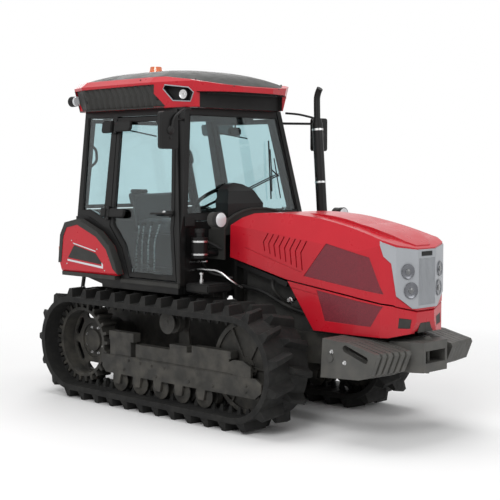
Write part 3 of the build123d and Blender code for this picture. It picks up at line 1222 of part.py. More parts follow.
# Rear linkage: rocker arms on their shaft, hanging rods and the two lower links
with BuildPart() as lift_arms:
    rod_between((LIFT_X, -LIFT_ARM_Y - 12, LIFT_Z), (LIFT_X, LIFT_ARM_Y + 12, LIFT_Z), 30)
    for side in (-1, 1):
        side_sheet([(LIFT_X + 30, LIFT_Z - 40), (LIFT_X + 45, LIFT_Z), (LIFT_X + 10, LIFT_Z + 46),
                    (ARM_END_X - 26, ARM_END_Z + 20), (ARM_END_X - 26, ARM_END_Z - 20)],
                   side * LIFT_ARM_Y - 12, 24)
        rod_between((ARM_END_X, side * (LIFT_ARM_Y - 12), ARM_END_Z),
                    (ARM_END_X, side * (ROD_Y + 14), ARM_END_Z), 11)
save(lift_arms, "lift_arms")

with BuildPart() as lift_rods:
    for side in (-1, 1):
        rod_between((ARM_END_X, side * ROD_Y, ARM_END_Z - 16),
                    (ROD_FOOT_X, side * ROD_Y, LINK_Z + 16), 15)
        for x, z in ((ARM_END_X, ARM_END_Z), (ROD_FOOT_X, LINK_Z)):
            rod_between((x, side * ROD_Y - 13, z), (x, side * ROD_Y + 13, z), 24)
            rod_between((x, side * ROD_Y - 14, z), (x, side * ROD_Y + 14, z), 11.3,
                        mode=Mode.SUBTRACT)
save(lift_rods, "lift_rods")

with BuildPart() as lower_links:
    for side in (-1, 1):
        box_between((BALL_X + 20, LINK_X - 20), (side * LINK_Y - 9, side * LINK_Y + 9),
                    (LINK_Z - 28, LINK_Z + 28))
        for x, radius, half_width in ((BALL_X, BALL_R, 22), (LINK_X, 34, 12)):
            rod_between((x, side * LINK_Y - half_width, LINK_Z),
                        (x, side * LINK_Y + half_width, LINK_Z), radius)
        rod_between((BALL_X, side * LINK_Y - 23, LINK_Z), (BALL_X, side * LINK_Y + 23, LINK_Z),
                    LINK_BORE_R, mode=Mode.SUBTRACT)
        rod_between((LINK_X, side * LINK_Y - 23, LINK_Z), (LINK_X, side * LINK_Y + 23, LINK_Z),
                    14.3, mode=Mode.SUBTRACT)
save(lower_links, "lower_links")

# Hitch frame behind the axle: link pins, rocker bearings, top link bracket and drawbar
with BuildPart() as hitch_frame:
    box_between((HITCH_REAR_X, HOUSING_REAR_X - SEAT_GAP), (-190, 190), (340, 750))
    for side in (-1, 1):
        rod_between((LINK_X, side * 120, LINK_Z), (LINK_X, side * (LINK_Y + 30), LINK_Z), 14)
        box_between((LINK_X - 40, HITCH_REAR_X + 1), (side * 168 - 22, side * 168 + 22),
                    (LINK_Z - 50, LINK_Z + 50))
        box_between((HITCH_REAR_X + 1, LIFT_X + 45), (side * 165 - 20, side * 165 + 20),
                    (760.3, 860))
        rod_between((LIFT_X, side * 140, LIFT_Z), (LIFT_X, side * 190, LIFT_Z), 30.3,
                    mode=Mode.SUBTRACT)
        box_between((HITCH_REAR_X + 0.1, HOUSING_REAR_X - SEAT_GAP),
                    (side * 165 - 20, side * 165 + 20), (740, 800))
        side_sheet([(HITCH_REAR_X + 1, 620), (TOP_LINK_X - 14, 640), (TOP_LINK_X - 28, 670),
                    (TOP_LINK_X - 14, 700), (HITCH_REAR_X + 1, 720)], side * 34 - 7, 14)
    rod_between((TOP_LINK_X, -50, TOP_LINK_Z), (TOP_LINK_X, 50, TOP_LINK_Z), TOP_PIN_R + 0.2,
                mode=Mode.SUBTRACT)
    plan_sheet([(HITCH_REAR_X + 1, -70), (DRAWBAR_X - 2, -60), (DRAWBAR_X - 32, -30),
                (DRAWBAR_X - 32, 30), (DRAWBAR_X - 2, 60), (HITCH_REAR_X + 1, 70)], 350, 30)
    with Locations((DRAWBAR_X, 0, 365)):
        Cylinder(DRAWBAR_BORE_R, 100, mode=Mode.SUBTRACT)
save(hitch_frame, "hitch_frame")

# Top link: a turnbuckle stowed upright on its bracket pin
with BuildPart() as top_link:
    rod_between((TOP_LINK_X, -52, TOP_LINK_Z), (TOP_LINK_X, 52, TOP_LINK_Z), TOP_PIN_R)
    top_end = (TOP_LINK_X - 40, 0, TOP_LINK_Z + 480)
    rod_between((TOP_LINK_X, 0, TOP_LINK_Z), top_end, 13)
    rod_between((TOP_LINK_X - 9, 0, TOP_LINK_Z + 110), (TOP_LINK_X - 31, 0, TOP_LINK_Z + 370),
                20)
    for x, z in ((TOP_LINK_X, TOP_LINK_Z), (top_end[0], top_end[2])):
        rod_between((x, -20, z), (x, 20, z), 30)
    rod_between((top_end[0], -30, top_end[2]), (top_end[0], 30, top_end[2]), TOP_PIN_R + 0.2,
                mode=Mode.SUBTRACT)
save(top_link, "top_link")

# Power take-off stub shaft, round where the splines would be cut
with BuildPart() as pto_shaft:
    rod_between((HITCH_REAR_X - 0.5, 0, PTO_Z), (PTO_END_X, 0, PTO_Z), PTO_R)
save(pto_shaft, "pto_shaft")

# Work lamps: in the recesses of the roof's front corners, and on its rear corners
with BuildPart() as work_lamps:
    with BuildSketch(corner_face.offset(-LAMP_RECESS + SEAT_GAP)) as lamp:
        with Locations(ROOF_LAMP_AT):
            Circle(ROOF_LAMP_R)
    extrude(lamp.sketch, amount=LAMP_RECESS - 34)
    fillet(work_lamps.edges().sort_by(lambda edge: edge.center().dot(corner_face.z_dir))[-1],
           radius=8)
    rod_between((-1140, -488, 2160), (-1208, -488, 2160), 36)
    fillet(work_lamps.edges().sort_by(Axis.X)[0], radius=14)
    mirror(about=Plane.XZ)
    add(roof_shell.part, mode=Mode.SUBTRACT)
    add(roof_side.part, mode=Mode.SUBTRACT)
    mirror(roof_side.part, about=Plane.XZ, mode=Mode.SUBTRACT)
save(work_lamps, "work_lamps")

# Air cleaner beside the cab's right front corner
with BuildPart() as air_cleaner:
    rod_between((183, -495, 1065), (183, -495, 1205), 55)
    rod_between((183, -495, 1200), (183, -495, 1238), 30)
    rod_between((183, -450, 1095), (183, -342.3, 1095), 24)
save(air_cleaner, "air_cleaner")
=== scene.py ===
"""Looks of the crawler tractor: finishes, upholstery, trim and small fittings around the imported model."""

import json
from math import cos, pi, radians, sin, tan

import bmesh
import bpy
from mathutils import Matrix, Vector


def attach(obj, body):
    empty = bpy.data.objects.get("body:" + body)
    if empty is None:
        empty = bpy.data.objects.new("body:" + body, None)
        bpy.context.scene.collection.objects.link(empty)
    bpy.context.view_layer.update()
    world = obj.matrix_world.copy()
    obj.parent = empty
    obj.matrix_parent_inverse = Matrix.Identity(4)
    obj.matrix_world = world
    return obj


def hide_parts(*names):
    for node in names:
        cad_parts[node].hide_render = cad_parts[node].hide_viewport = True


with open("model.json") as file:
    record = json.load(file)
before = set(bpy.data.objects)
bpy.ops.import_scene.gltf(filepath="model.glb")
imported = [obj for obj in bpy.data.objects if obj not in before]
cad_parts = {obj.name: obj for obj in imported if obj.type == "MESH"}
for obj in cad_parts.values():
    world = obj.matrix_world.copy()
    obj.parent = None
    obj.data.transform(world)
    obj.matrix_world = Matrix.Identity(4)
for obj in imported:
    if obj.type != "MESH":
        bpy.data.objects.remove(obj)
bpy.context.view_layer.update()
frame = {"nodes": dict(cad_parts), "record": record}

CHASSIS = "chassis"

# Finishes


class Finish:
    """A node material around one Principled shader, with short calls for the usual nodes."""

    def __init__(self, name):
        self.material = bpy.data.materials.new(name)
        self.material.use_nodes = True
        self.tree = self.material.node_tree
        self.shader = self.tree.nodes["Principled BSDF"]
        self.place = self.node("ShaderNodeTexCoord").outputs["Object"]

    def node(self, kind, **settings):
        made = self.tree.nodes.new(kind)
        for key, value in settings.items():
            setattr(made, key, value)
        return made

    def link(self, source, target):
        self.tree.links.new(source, target)

    def set(self, **values):
        for key, value in values.items():
            self.shader.inputs[key.replace("_", " ")].default_value = value

    def noise(self, scale, detail=3.0, stretch=(1, 1, 1)):
        mapping = self.node("ShaderNodeMapping")
        mapping.inputs["Scale"].default_value = stretch
        self.link(self.place, mapping.inputs["Vector"])
        noise = self.node("ShaderNodeTexNoise")
        noise.inputs["Scale"].default_value = scale
        noise.inputs["Detail"].default_value = detail
        self.link(mapping.outputs["Vector"], noise.inputs["Vector"])
        return noise.outputs["Fac"]

    def span(self, value, low, high, to_low=0.0, to_high=1.0):
        spread = self.node("ShaderNodeMapRange")
        spread.inputs["From Min"].default_value = low
        spread.inputs["From Max"].default_value = high
        spread.inputs["To Min"].default_value = to_low
        spread.inputs["To Max"].default_value = to_high
        self.link(value, spread.inputs["Value"])
        return spread.outputs["Result"]

    def math(self, operation, first, second):
        made = self.node("ShaderNodeMath", operation=operation)
        for socket, value in zip(made.inputs, (first, second)):
            if isinstance(value, (int, float)):
                socket.default_value = value
            else:
                self.link(value, socket)
        return made.outputs["Value"]

    def mix(self, factor, first, second):
        made = self.node("ShaderNodeMix", data_type="RGBA")
        self.link(factor, made.inputs[0])
        for socket, value in ((made.inputs[6], first), (made.inputs[7], second)):
            if isinstance(value, tuple):
                socket.default_value = (*value, 1.0)
            else:
                self.link(value, socket)
        return made.outputs[2]

    def rounding(self, radius):
        """Normals that run round each edge, as a cast or pressed part's edges do."""
        bevel = self.node("ShaderNodeBevel", samples=4)
        bevel.inputs["Radius"].default_value = radius
        return bevel.outputs["Normal"]

    def edges(self, rounded, reach=0.75):
        """1 along an edge, 0 on the flats."""
        flat = self.node("ShaderNodeNewGeometry").outputs["Normal"]
        dot = self.node("ShaderNodeVectorMath", operation="DOT_PRODUCT")
        self.link(rounded, dot.inputs[0])
        self.link(flat, dot.inputs[1])
        return self.span(dot.outputs["Value"], 0.99, reach)

    def bump(self, height, strength, distance, normal=None):
        made = self.node("ShaderNodeBump")
        made.inputs["Strength"].default_value = strength
        made.inputs["Distance"].default_value = distance
        self.link(height, made.inputs["Height"])
        if normal is not None:
            self.link(normal, made.inputs["Normal"])
        return made.outputs["Normal"]

    def low_down(self, top, bottom):
        """1 near the ground, 0 above the top."""
        split = self.node("ShaderNodeSeparateXYZ")
        self.link(self.place, split.inputs[0])
        return self.span(split.outputs["Z"], top, bottom)


DUST = (0.20, 0.185, 0.155)


def painted(name, colour, shade, rough=(0.28, 0.40), coat=0.0, grain=0.04, edge=0.003, dust=0.25,
            shine=0.3):
    """Sprayed or moulded finish: two close tones, a fine surface, soft edges and dust low down."""
    finish = Finish(name)
    tone = finish.mix(finish.span(finish.noise(3.5), 0.35, 0.65), colour, shade)
    cover = finish.math("MULTIPLY", finish.span(finish.noise(9, 6), 0.45, 0.75), finish.low_down(1.1, 0.15))
    tone = finish.mix(finish.math("MULTIPLY", cover, dust), tone, DUST)
    finish.link(tone, finish.shader.inputs["Base Color"])
    finish.link(finish.span(finish.noise(14), 0.3, 0.7, *rough), finish.shader.inputs["Roughness"])
    normal = finish.bump(finish.noise(900, 2), grain, 0.0006, finish.rounding(edge))
    finish.link(normal, finish.shader.inputs["Normal"])
    finish.set(Coat_Weight=coat, Coat_Roughness=0.06, Specular_IOR_Level=shine)
    return finish.material


def cast(name, colour, worn, rough=(0.5, 0.72), edge=0.004, wear=0.5, grain=0.25):
    """Painted casting: coarse grain, chipped and rubbed edges, dust low down."""
    finish = Finish(name)
    rounded = finish.rounding(edge)
    chips = finish.math("MULTIPLY", finish.edges(rounded), finish.span(finish.noise(60, 5), 0.35, 0.6))
    tone = finish.mix(finish.span(finish.noise(6, 5), 0.3, 0.7), colour, tuple(0.78 * c for c in colour))
    tone = finish.mix(finish.math("MULTIPLY", chips, wear), tone, worn)
    cover = finish.math("MULTIPLY", finish.span(finish.noise(11, 7), 0.4, 0.75), finish.low_down(1.0, 0.1))
    tone = finish.mix(finish.math("MULTIPLY", cover, 0.35), tone, DUST)
    finish.link(tone, finish.shader.inputs["Base Color"])
    finish.link(finish.span(finish.noise(20), 0.3, 0.7, *rough), finish.shader.inputs["Roughness"])
    normal = finish.bump(finish.noise(260, 3), grain, 0.0015, rounded)
    finish.link(normal, finish.shader.inputs["Normal"])
    finish.set(Specular_IOR_Level=0.25)
    return finish.material


def rubber():
    """Moulded rubber: matt, a little dusty, paler where the lugs' edges have rubbed."""
    finish = Finish("track_rubber")
    rounded = finish.rounding(0.007)
    rubbed = finish.math("MULTIPLY", finish.edges(rounded, 0.7), finish.span(finish.noise(35, 6), 0.3, 0.6))
    tone = finish.mix(finish.span(finish.noise(5, 6), 0.3, 0.7), (0.019, 0.019, 0.018), (0.011, 0.011, 0.011))
    tone = finish.mix(finish.math("MULTIPLY", rubbed, 0.55), tone, (0.055, 0.054, 0.050))
    cover = finish.span(finish.noise(16, 8), 0.5, 0.8)
    tone = finish.mix(finish.math("MULTIPLY", cover, 0.14), tone, (0.07, 0.067, 0.06))
    finish.link(tone, finish.shader.inputs["Base Color"])
    finish.link(finish.span(finish.noise(24), 0.3, 0.7, 0.6, 0.85), finish.shader.inputs["Roughness"])
    normal = finish.bump(finish.noise(330, 4), 0.3, 0.0015, rounded)
    finish.link(normal, finish.shader.inputs["Normal"])
    finish.set(Specular_IOR_Level=0.18)
    return finish.material


def glass(name, tint, rough=0.015):
    """Tinted safety glass with a trace of haze."""
    finish = Finish(name)
    haze = finish.span(finish.noise(4, 4), 0.3, 0.7, rough, rough * 2.5)
    finish.link(haze, finish.shader.inputs["Roughness"])
    tone = finish.mix(finish.span(finish.noise(2), 0.3, 0.7), tint, tuple(0.96 * c for c in tint))
    finish.link(tone, finish.shader.inputs["Base Color"])
    finish.set(Transmission_Weight=1.0, IOR=1.45)
    return finish.material


def woven(name, colour, thread):
    """Close woven upholstery, its threads about 1.5 mm apart."""
    finish = Finish(name)
    waves = []
    for direction in ("X", "Z"):
        wave = finish.node("ShaderNodeTexWave", wave_type="BANDS", bands_direction=direction)
        wave.inputs["Scale"].default_value = 210
        wave.inputs["Distortion"].default_value = 0.6
        finish.link(finish.place, wave.inputs["Vector"])
        waves.append(wave.outputs["Fac"])
    weave = finish.math("MULTIPLY", *waves)
    finish.link(finish.mix(weave, colour, thread), finish.shader.inputs["Base Color"])
    finish.link(finish.span(finish.noise(30), 0.3, 0.7, 0.8, 0.95), finish.shader.inputs["Roughness"])
    finish.link(finish.bump(weave, 0.5, 0.0008), finish.shader.inputs["Normal"])
    finish.set(Sheen_Weight=0.25)
    return finish.material


def metal(name, colour, rough=(0.18, 0.38)):
    """Plated or polished steel with fine draw marks."""
    finish = Finish(name)
    tone = finish.mix(finish.span(finish.noise(25, 5), 0.35, 0.65), colour, tuple(0.8 * c for c in colour))
    finish.link(tone, finish.shader.inputs["Base Color"])
    brushed = finish.span(finish.noise(40, 3, (1, 1, 8)), 0.3, 0.7, *rough)
    finish.link(brushed, finish.shader.inputs["Roughness"])
    normal = finish.bump(finish.noise(300, 2, (1, 1, 6)), 0.08, 0.0005, finish.rounding(0.0015))
    finish.link(normal, finish.shader.inputs["Normal"])
    finish.set(Metallic=1.0)
    return finish.material


def lens(name, tint):
    """Clear moulded lens with fine flutes."""
    finish = Finish(name)
    wave = finish.node("ShaderNodeTexWave", wave_type="BANDS", bands_direction="Y")
    wave.inputs["Scale"].default_value = 60
    finish.link(finish.place, wave.inputs["Vector"])
    finish.link(finish.mix(wave.outputs["Fac"], tint, tuple(0.85 * c for c in tint)),
                finish.shader.inputs["Base Color"])
    finish.link(finish.bump(wave.outputs["Fac"], 0.25, 0.001), finish.shader.inputs["Normal"])
    finish.set(Roughness=0.08, Coat_Weight=1.0, Coat_Roughness=0.03, Specular_IOR_Level=0.8)
    return finish.material


def mesh_screen():
    """Fine perforated screen sprayed in the hood's red; its holes are painted shade of the dark space behind
    it.
    """
    finish = Finish("hood_screen")
    cells = finish.node("ShaderNodeTexVoronoi", feature="F1")
    cells.inputs["Scale"].default_value = 330
    finish.link(finish.place, cells.inputs["Vector"])
    holes_with_painted_shade = finish.span(cells.outputs["Distance"], 0.55, 0.35)
    # The holes' dark colour is painted shade of the space behind the screen; the same hole mask also drives
    # the bump.
    finish.link(finish.mix(holes_with_painted_shade, (0.21, 0.022, 0.035), (0.075, 0.012, 0.018)),
                finish.shader.inputs["Base Color"])
    finish.link(finish.span(finish.noise(12), 0.3, 0.7, 0.30, 0.42), finish.shader.inputs["Roughness"])
    finish.link(finish.bump(holes_with_painted_shade, 0.10, 0.0006), finish.shader.inputs["Normal"])
    finish.set(Coat_Weight=0.1, Coat_Roughness=0.12, Specular_IOR_Level=0.3)
    return finish.material


FINISHES = {
    "track_rubber": rubber(),
    "running_gear_grey": cast("running_gear_grey", (0.036, 0.035, 0.032), (0.11, 0.105, 0.095)),
    "engine_grey": cast("engine_grey", (0.030, 0.030, 0.029), (0.10, 0.095, 0.09)),
    "weight_grey": cast("weight_grey", (0.082, 0.081, 0.076), (0.17, 0.165, 0.15), (0.42, 0.6),
                        0.006, 0.35, 0.15),
    "cab_black": painted("cab_black", (0.006, 0.006, 0.006), (0.009, 0.009, 0.009), (0.30, 0.42), shine=0.2),
    "cab_glass": glass("cab_glass", (0.645, 0.79, 0.812)),
    "red_paint": painted("red_paint", (0.50, 0.008, 0.020), (0.46, 0.007, 0.018), (0.26, 0.36),
                         0.15, 0.02, 0.005, 0.1),
    "roof_grey": painted("roof_grey", (0.036, 0.036, 0.034), (0.031, 0.031, 0.029), (0.45, 0.58),
                         0, 0.25, shine=0.2),
    "hood_screen": mesh_screen(),
    "grille_silver": painted("grille_silver", (0.36, 0.375, 0.40), (0.33, 0.345, 0.365), (0.32, 0.42),
                             0.1, 0.04),
    "beacon_amber": lens("beacon_amber", (0.80, 0.14, 0.005)),
    "lamp_lens": lens("lamp_lens", (0.62, 0.64, 0.66)),
    "seat_fabric": woven("seat_fabric", (0.020, 0.020, 0.022), (0.055, 0.055, 0.06)),
    "wheel_plastic": painted("wheel_plastic", (0.012, 0.012, 0.012), (0.015, 0.015, 0.015), (0.5, 0.62),
                             0, 0.2, shine=0.2),
    "bright_steel": metal("bright_steel", (0.62, 0.62, 0.62)),
}

for part in frame["record"]["subparts"]:
    node = frame["nodes"].get(part["node"])
    if node is None:
        continue
    node.data.materials.clear()
    node.data.materials.append(FINISHES[part["material_slot"]])

# Trim: small parts drawn in millimetres in the row frame

MM = 0.001
CAB_LEAN = 0.16425
CAB_BELT = 1250
CAB_HALF = 606


class Kit:
    """Small parts of one finish that ride on one body, or on a pair of mirrored bodies."""

    def __init__(self, name, slot, body=CHASSIS, twin=None, finish=None):
        self.name, self.slot, self.body, self.twin = name, slot, body, twin
        self.finish = finish or FINISHES[slot]
        self.mesh = bmesh.new()

    def loft(self, rings, closed=False):
        """Skins a row of point rings, and caps both ends unless the row closes on itself."""
        made = [[self.mesh.verts.new(Vector(point) * MM) for point in ring] for ring in rings]
        pairs = list(zip(made, made[1:])) + ([(made[-1], made[0])] if closed else [])
        faces = []
        for first, second in pairs:
            for index in range(len(first)):
                after = (index + 1) % len(first)
                faces.append(self.mesh.faces.new((first[index], first[after], second[after], second[index])))
        if not closed:
            faces += [self.mesh.faces.new(list(reversed(made[0]))), self.mesh.faces.new(made[-1])]
        return faces

    def tube(self, points, radius, corner=0, sides=12, closed=False):
        """A bar or hose along points, with its corners bent to about a radius."""
        path = [Vector(point) for point in points]
        if corner:
            path = bent(path, corner)
        count = len(path)
        across = None
        rings = []
        for index, point in enumerate(path):
            before = path[index - 1] if index or closed else point
            after = path[(index + 1) % count] if index < count - 1 or closed else point
            along = (after - before).normalized()
            if across is None:
                across = along.orthogonal().normalized()
            across = (across - along * across.dot(along)).normalized()
            other = along.cross(across)
            rings.append([point + (across * cos(turn) + other * sin(turn)) * radius
                          for turn in (2 * pi * step / sides for step in range(sides))])
        self.loft(rings, closed)

    def lathe(self, place, axis, profile, sides=28):
        """A turned part: profile gives places along the axis and radii."""
        place, axis = Vector(place), Vector(axis).normalized()
        across = axis.orthogonal().normalized()
        other = axis.cross(across)
        self.loft([[place + axis * along + (across * cos(turn) + other * sin(turn)) * max(radius, 0.05)
                    for turn in (2 * pi * step / sides for step in range(sides))]
                   for along, radius in profile])

    def plate(self, outline, low, high, bevel=1.5):
        """A flat or bent plate between two outlines of points, with rounded edges."""
        faces = self.loft([low(outline), high(outline)])
        edges = {edge for face in (faces[-1], faces[-2]) for edge in face.edges}
        bmesh.ops.bevel(self.mesh, geom=list(edges), offset=bevel * MM, segments=2, affect="EDGES",
                        clamp_overlap=True)

    def block(self, low, high, bevel=3):
        """A box with all its edges rounded."""
        (x0, y0, z0), (x1, y1, z1) = low, high
        faces = self.loft([[(x0, y0, z), (x1, y0, z), (x1, y1, z), (x0, y1, z)] for z in (z0, z1)])
        edges = {edge for face in faces for edge in face.edges}
        bmesh.ops.bevel(self.mesh, geom=list(edges), offset=bevel * MM, segments=2, affect="EDGES",
                        clamp_overlap=True)

    def bolt(self, place, axis, across=16):
        """A hexagon head on its washer."""
        radius = across / 2 / cos(pi / 6)
        self.lathe(place, axis, [(-1, radius * 1.3), (1.6, radius * 1.3), (2, radius * 1.2)], 20)
        self.lathe(place, axis, [(1, radius), (across * 0.5, radius), (across * 0.62, radius * 0.86)], 6)

    def close(self):
        """Makes the pieces and lets them ride."""
        sides = [(self.name, self.body, False)]
        if self.twin and self.twin != self.body:
            sides.append((self.name + "_left", self.twin, True))
        elif self.twin:
            whole = self.mesh.verts[:] + self.mesh.edges[:] + self.mesh.faces[:]
            copy = bmesh.ops.duplicate(self.mesh, geom=whole)
            for item in copy["geom"]:
                if isinstance(item, bmesh.types.BMVert):
                    item.co.y = -item.co.y
        bmesh.ops.recalc_face_normals(self.mesh, faces=self.mesh.faces[:])
        for name, body, flipped in sides:
            data = bpy.data.meshes.new(name)
            if flipped:
                for corner in self.mesh.verts:
                    corner.co.y = -corner.co.y
                bmesh.ops.reverse_faces(self.mesh, faces=self.mesh.faces[:])
            self.mesh.to_mesh(data)
            data.polygons.foreach_set("use_smooth", [True] * len(data.polygons))
            data.set_sharp_from_angle(angle=radians(32))
            data.materials.append(self.finish)
            piece = bpy.data.objects.new(name, data)
            bpy.context.collection.objects.link(piece)
            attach(piece, body)
        self.mesh.free()
        return piece


def bent(path, corner):
    """Replaces each inner corner of a path with a short arc."""
    rounded = [path[0]]
    for before, point, after in zip(path, path[1:], path[2:]):
        reach = min(corner, 0.45 * (point - before).length, 0.45 * (after - point).length)
        start = point + (before - point).normalized() * reach
        end = point + (after - point).normalized() * reach
        for step in range(7):
            share = step / 6
            rounded.append(start.lerp(point, share).lerp(point.lerp(end, share), share))
    return rounded + [path[-1]]


def drawn_in(outline, distance):
    """Moves a closed outline's edges inwards by a distance, whichever way round it is drawn."""
    area = sum(a[0] * b[1] - b[0] * a[1] for a, b in zip(outline, outline[1:] + outline[:1]))
    turn = 1 if area > 0 else -1
    moved = []
    for before, point, after in zip(outline[-1:] + outline[:-1], outline, outline[1:] + outline[:1]):
        first = (Vector(point) - Vector(before)).normalized()
        second = (Vector(after) - Vector(point)).normalized()
        first_in = Vector((-first.y, first.x)) * turn
        second_in = Vector((-second.y, second.x)) * turn
        middle = (first_in + second_in).normalized()
        moved.append(tuple(Vector(point) + middle * distance / max(0.2, middle.dot(first_in))))
    return moved


def split_at_belt(outline):
    """Adds a point wherever an outline in X and Z crosses the bend in the cab's side."""
    full = []
    for (x, z), (next_x, next_z) in zip(outline, outline[1:] + outline[:1]):
        full.append((x, z))
        if (z - CAB_BELT) * (next_z - CAB_BELT) < 0:
            full.append((x + (next_x - x) * (CAB_BELT - z) / (next_z - z), CAB_BELT))
    return full


def on_side(x, z, out=0.0):
    """A point on the cab's right side, some way out from its skin."""
    return Vector((x, -(CAB_HALF - max(0, z - CAB_BELT) * CAB_LEAN + out), z))


def side_layer(out):
    return lambda outline: [on_side(x, z, out) for x, z in outline]


def upright_layer(y):
    return lambda outline: [(x, y, z) for x, z in outline]


def level_layer(z):
    return lambda outline: [(x, y, z) for x, y in outline]


def across_layer(x):
    return lambda outline: [(x, y, z) for y, z in outline]


def on_screen(y, z, out=0.0):
    """A point on the windscreen's frame plane, some way out in front of it."""
    return Vector((125 - (z - 1345) * 0.14325 + out, y, z))


def seat_on(place, direction):
    """Where a line in the row frame first meets the CAD model, in millimetres."""
    bpy.context.view_layer.update()
    graph = bpy.context.evaluated_depsgraph_get()
    hit, point, *_ = bpy.context.scene.ray_cast(graph, Vector(place) * MM, Vector(direction))
    return point / MM if hit else None


DOOR_HOLE = [(-66, 2032), (44, 1345), (76, 902), (-425, 902), (-500, 1105), (-636, 1262), (-690, 2032)]
QUARTER_HOLE = [(-744, 2032), (-714, 1310), (-890, 1366), (-969, 1362), (-1028, 2032)]
FENDER = [(-1140, 912), (-1165, 974), (-1140, 1180), (-1085, 1270), (-930, 1300), (-700, 1215), (-575, 1120),
          (-512, 1000), (-482, 925)]

# Doors: hinge covers, window seals, handles
covers = Kit("door_hinge_covers", "wheel_plastic", "door_right", "door_left")
covers.plate([(-684, 1924), (-524, 1926), (-506, 1942), (-506, 1988), (-524, 2002), (-684, 2004)],
             side_layer(2), side_layer(26), 7)
covers.plate([(-628, 1322), (-484, 1322), (-466, 1336), (-466, 1368), (-484, 1382), (-628, 1384)],
             side_layer(2), side_layer(26), 7)
covers.tube([on_side(x, z, -9) for x, z in split_at_belt(drawn_in(DOOR_HOLE, 39))], 4.5, closed=True)
covers.tube([on_side(-188, 1357, 2), on_side(-180, 1357, 27), on_side(18, 1362, 27), on_side(26, 1362, 2)],
            7, 14)
covers.plate([(-46, 1340), (22, 1342), (28, 1380), (-40, 1380)], side_layer(0), side_layer(15), 4)
covers.tube([(-587, -440, 1932), (-302, -447, 1887)], 5)
covers.close()
latches = Kit("door_latches", "bright_steel", "door_right", "door_left")
latches.lathe(on_side(-63, 1366, 0), (0, -1, 0.16), [(-1, 13), (10, 13), (12, 11), (12.5, 4)])
latches.close()

# Cab: quarter glass seals, fixed hinge halves, pillar tubes, sills
cab_trim = Kit("cab_trim", "wheel_plastic", CHASSIS, CHASSIS)
cab_trim.tube([on_side(x, z, -9) for x, z in drawn_in(QUARTER_HOLE, 1)], 5, closed=True)
cab_trim.plate([(-836, 1932), (-820, 1918), (-728, 1920), (-728, 2004), (-820, 2006), (-836, 1992)],
               side_layer(-11), side_layer(20), 6)
cab_trim.plate([(-738, 1322), (-676, 1322), (-676, 1384), (-738, 1384)], side_layer(-11), side_layer(20), 6)
cab_trim.tube([on_side(-58, 2066, 8), on_side(-20, 1881, 8), on_side(76, 1390, 8), (106, -614, 1200),
               (110, -614, 900)],
              10, 40)
cab_trim.tube([(-1036, -460, 1837), (-950, -465, 1806), (-932, -476, 1713), (-995, -482, 1678)], 10, 40)
cab_trim.block((-1018, -572, 1300), (-930, -563, 1330))
cab_trim.close()
sills = Kit("sill_strips", "roof_grey", CHASSIS, CHASSIS)
sills.block((-500, -624, 862), (112, -606.5, 894), 5)
sills.close()

screen_trim = Kit("windscreen_trim", "wheel_plastic")
seal = [(-544, 1360), (544, 1360), (424, 2028), (-424, 2028)]
screen_trim.tube([on_screen(y, z, -11) for y, z in seal], 5, closed=True)
screen_trim.lathe((110, -33, 1495), (1, 0, 0.14), [(0, 20), (34, 20), (40, 15), (44, 6)])
for shift in (0, 13):
    screen_trim.tube([on_screen(-33, 1497 + shift, 36), on_screen(290, 1596 + shift, 24),
                      on_screen(362, 1612 + shift, 18)],
                     4.5, 30)
screen_trim.tube([on_screen(352, 1608, 22), on_screen(300, 1654, 12)], 5)
screen_trim.tube([on_screen(304, 1862, 6), on_screen(268, 1446, 6)], 5.5)
screen_trim.tube([on_screen(302, 1800, 15), on_screen(290, 1654, 20), on_screen(276, 1500, 15)], 4, 60)
screen_trim.tube([on_screen(344, 1736, 5), on_screen(369, 1450, 5)], 4)
screen_trim.tube([(-34, -404, 2038), (-34, 404, 2038)], 19, sides=20)
screen_trim.plate([(-400, 2038), (226, 2038), (214, 1986), (-398, 1986)],
                  lambda outline: [on_screen(y, z, -48) for y, z in outline],
                  lambda outline: [on_screen(y, z, -45) for y, z in outline], 0.8)
screen_trim.block((-82, 20, 1896), (-56, 147, 1954), 12)
screen_trim.tube([(-66, 84, 1950), (-40, 84, 2050)], 6)
screen_trim.block((126, -578, 1278), (134, -488, 1346), 3)
screen_trim.close()

# Mirrors: bent arm, pivot and silvered glass
mirror_arms = Kit("mirror_arms", "wheel_plastic", CHASSIS, CHASSIS)
mirror_arms.tube([(70, -470, 2064), (120, -560, 2058), (182, -668, 2030), (190, -730, 1990),
                  (186, -744, 1912)], 8, 50)
mirror_arms.lathe((174, -744, 1912), (1, 0, 0), [(0, 30), (8, 28), (14, 20), (17, 6)])
mirror_arms.lathe((174, -744, 1862), (1, 0, 0), [(0, 9), (6, 9), (8, 6)])
mirror_arms.close()
mirror_panes = Kit("mirror_panes", "bright_steel", CHASSIS, CHASSIS)
mirror_panes.plate([(-802, 1800), (-686, 1800), (-680, 1808), (-680, 2016), (-686, 2024), (-802, 2024),
                    (-808, 2016), (-808, 1808)], across_layer(125.5), across_layer(128.5), 0.8)
mirror_panes.close()

